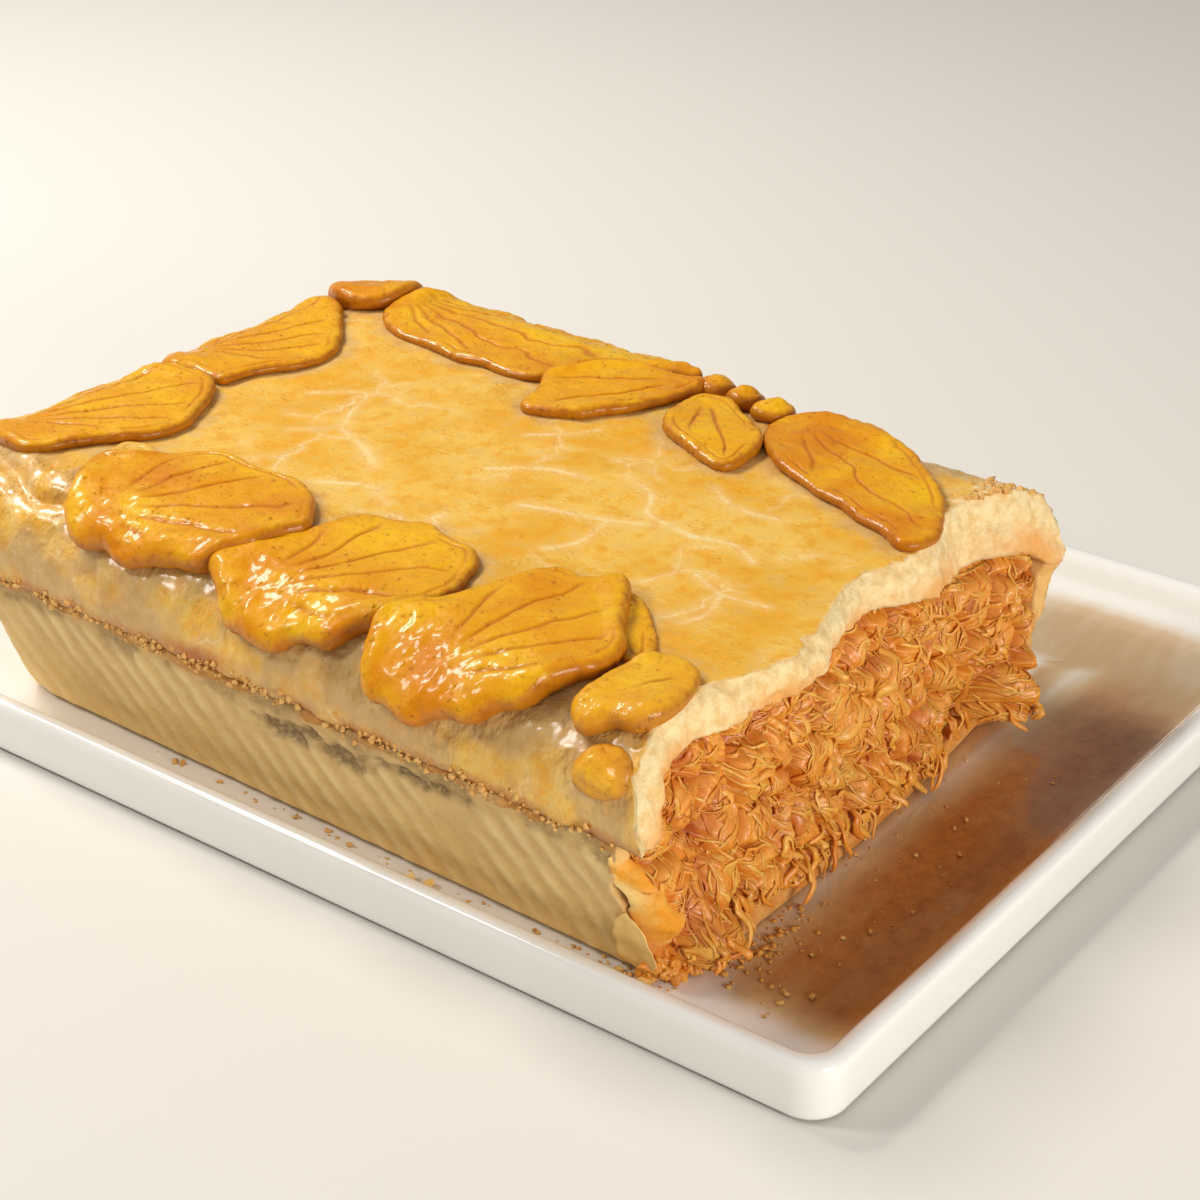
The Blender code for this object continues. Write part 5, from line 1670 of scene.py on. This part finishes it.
def gild_edge():
    """Golden crumbs where the lid broke beside the far leaf, and orange specks of meat on the dish."""
    rng = np.random.default_rng(8)
    n = 120
    x = 0.1165 + 0.0030 * rng.standard_normal(n)
    y = rng.uniform(0.030, 0.060, n)
    x = np.minimum(x, lid_break(y, np.full(n, 0.068)) - 0.0005)
    size = 0.0004 + 0.0010 * rng.random(n) ** 2
    places = drape(x, y, 0.25 * size)
    tints = 0.15 + 0.5 * rng.random(n)
    lumps("golden_crumbs", into_dish(places), size, tints, 0.7, LOOKS["crumb"], 9)
    n = 70
    x, y = 0.1270 + 0.012 * rng.random(n) ** 1.5, rng.uniform(-0.094, -0.060, n)
    size = 0.0004 + 0.0009 * rng.random(n) ** 2
    places = np.column_stack([x, y, FLOOR_TOP + 0.35 * size])
    tints = np.full(n, 1.0)
    lumps("meat_specks", into_dish(places), size, tints, 0.45, LOOKS["crumb"], 10)


gild_edge()


def seam_crumbs():
    """Crumbs along the seam, as places on its outline: near side, rounded corner, end, corner, far side."""
    rng = np.random.default_rng(21)
    left, near, far, r = LID_LINE
    n = 2300
    side, turn, end = 0.119 - left - r, r * math.pi / 2, far - near - 2 * r
    s = rng.random(n) ** 0.8 * (2 * side + 2 * turn + end)
    a, b = (s - side) / r, (s - side - turn - end) / r
    on = [s < side, s < side + turn, s < side + turn + end, s < side + 2 * turn + end]
    x = np.select(on,
                  [0.119 - s, left + r - r * np.sin(a), left + 0 * s, left + r - r * np.cos(b)],
                  left + r + s - side - 2 * turn - end)
    y = np.select(on,
                  [near + 0 * s, near + r - r * np.cos(a), near + r + s - side - turn,
                   far - r + r * np.sin(b)],
                  far + 0 * s)
    size = 0.00025 + 0.00075 * rng.random(n) ** 2.5
    z = SEAM_HEIGHT + 0.0001 + 0.0011 * rng.standard_normal(n)
    keep = noise(np.stack([x, y, 0 * x], axis=-1), 0.011, 22.0) + 0.5 * rng.random(n) > -0.05
    places = into_dish(np.column_stack([x, y, z])[keep])
    tints = 0.65 * rng.random(keep.sum()) ** 1.5
    lumps("seam_crumbs", places, size[keep], tints, 0.9, LOOKS["crumb"], 23)


seam_crumbs()


def wet_lumps():
    """Lumps of sauced meat that slid to the near corner of the cut."""
    rng = np.random.default_rng(31)
    n = 26
    t = rng.random(n)
    x = 0.1180 + 0.0090 * t + 0.001 * rng.standard_normal(n)
    y = -0.1030 + 0.0130 * t + 0.0010 * rng.standard_normal(n)
    size = 0.0018 + 0.0018 * rng.random(n)
    z = FLOOR_TOP + 0.7 * size + 0.0060 * rng.random(n) ** 1.3 * (1.0 - 0.4 * t)
    places = into_dish(np.column_stack([x, y, z]))
    tints = 0.2 + 0.5 * rng.random(n)
    lumps("wet_meat_lumps", places, size, tints, 0.8, LOOKS["bed"], 32,
          detail=4, relief=0.9)


wet_lumps()

# %% [markdown]
# ## Floor, light and camera
#
# A pale matte floor turns up into a backdrop. The key light stands high on the left. A second one, high
# at the front left, puts small bright points on the wash, and a low one past the cut lights the broken
# end. The room itself gives a little even light.

# %% Floor and backdrop
def build_floor():
    """One profile, flat and then turned up, drawn out sideways and turned to face the camera."""
    profile = [(-1.4, 0.0), (1.6, 0.0), (1.9, 0.02), (2.1, 0.12), (2.2, 0.35), (2.2, 2.2)]
    line = smooth_line(profile, 10)
    across = np.array([-3.0, 3.0])
    y = line[:, :1] + 0 * across
    z = line[:, 1:] + 0 * across
    x = across + 0 * y
    spin = math.radians(37.1)
    c, s = math.cos(spin), math.sin(spin)
    points = np.stack([c * x - s * y, s * x + c * y, z], axis=-1).reshape(-1, 3)
    mesh = bpy.data.meshes.new("floor")
    mesh.from_pydata(points.tolist(), [], grid_faces(len(line), 2).tolist())
    mesh.shade_smooth()
    f = Finish("pale_floor", roughness=0.9, specular=0.2)
    mesh.materials.append(f.done(paint(226, 222, 214)))
    obj = bpy.data.objects.new("floor", mesh)
    bpy.context.scene.collection.objects.link(obj)


build_floor()


# %% Lights, camera and the display's curve
def look_at(obj, place, target):
    """Puts an object at a place and points its -Z at the target."""
    obj.location = place
    direction = Vector(target) - Vector(place)
    obj.rotation_euler = direction.to_track_quat("-Z", "Y").to_euler()


def soft_light(name, place, target, size, watts, colour):
    """A rectangular area light aimed at a place."""
    lamp = bpy.data.lights.new(name, "AREA")
    lamp.shape = "RECTANGLE"
    lamp.size, lamp.size_y = size
    lamp.energy = watts
    lamp.color = colour
    obj = bpy.data.objects.new(name, lamp)
    bpy.context.scene.collection.objects.link(obj)
    look_at(obj, place, target)


soft_light("key", (-0.78, 0.02, 0.92), (0.0, 0.0, 0.03), (0.32, 0.32), 9.8, (1.0, 0.97, 0.93))
soft_light("overhead", (-0.62, -0.56, 0.84), (0.0, 0.0, 0.0), (0.22, 0.22), 3.9, (1.0, 0.98, 0.95))
soft_light("front", (1.05, -0.30, 0.30), (0.08, 0.0, 0.03), (0.45, 0.30), 7.0, (1.0, 0.96, 0.90))

world = bpy.data.worlds.new("room")
world.use_nodes = True
world.node_tree.nodes["Background"].inputs["Color"].default_value = (1.0, 0.98, 0.94, 1.0)
world.node_tree.nodes["Background"].inputs["Strength"].default_value = 0.32
bpy.context.scene.world = world

camera = bpy.data.cameras.new("camera")
camera.lens = 75.0
camera.sensor_width = 36.0
viewer = bpy.data.objects.new("camera", camera)
bpy.context.scene.collection.objects.link(viewer)
VIEW = Vector((-0.5337, 0.7056, -0.4662))
viewer.location = (0.3826, -0.4758, 0.3382)
viewer.rotation_euler = VIEW.to_track_quat("-Z", "Y").to_euler()
bpy.context.scene.camera = viewer
bpy.context.scene.view_settings.view_transform = "Standard"
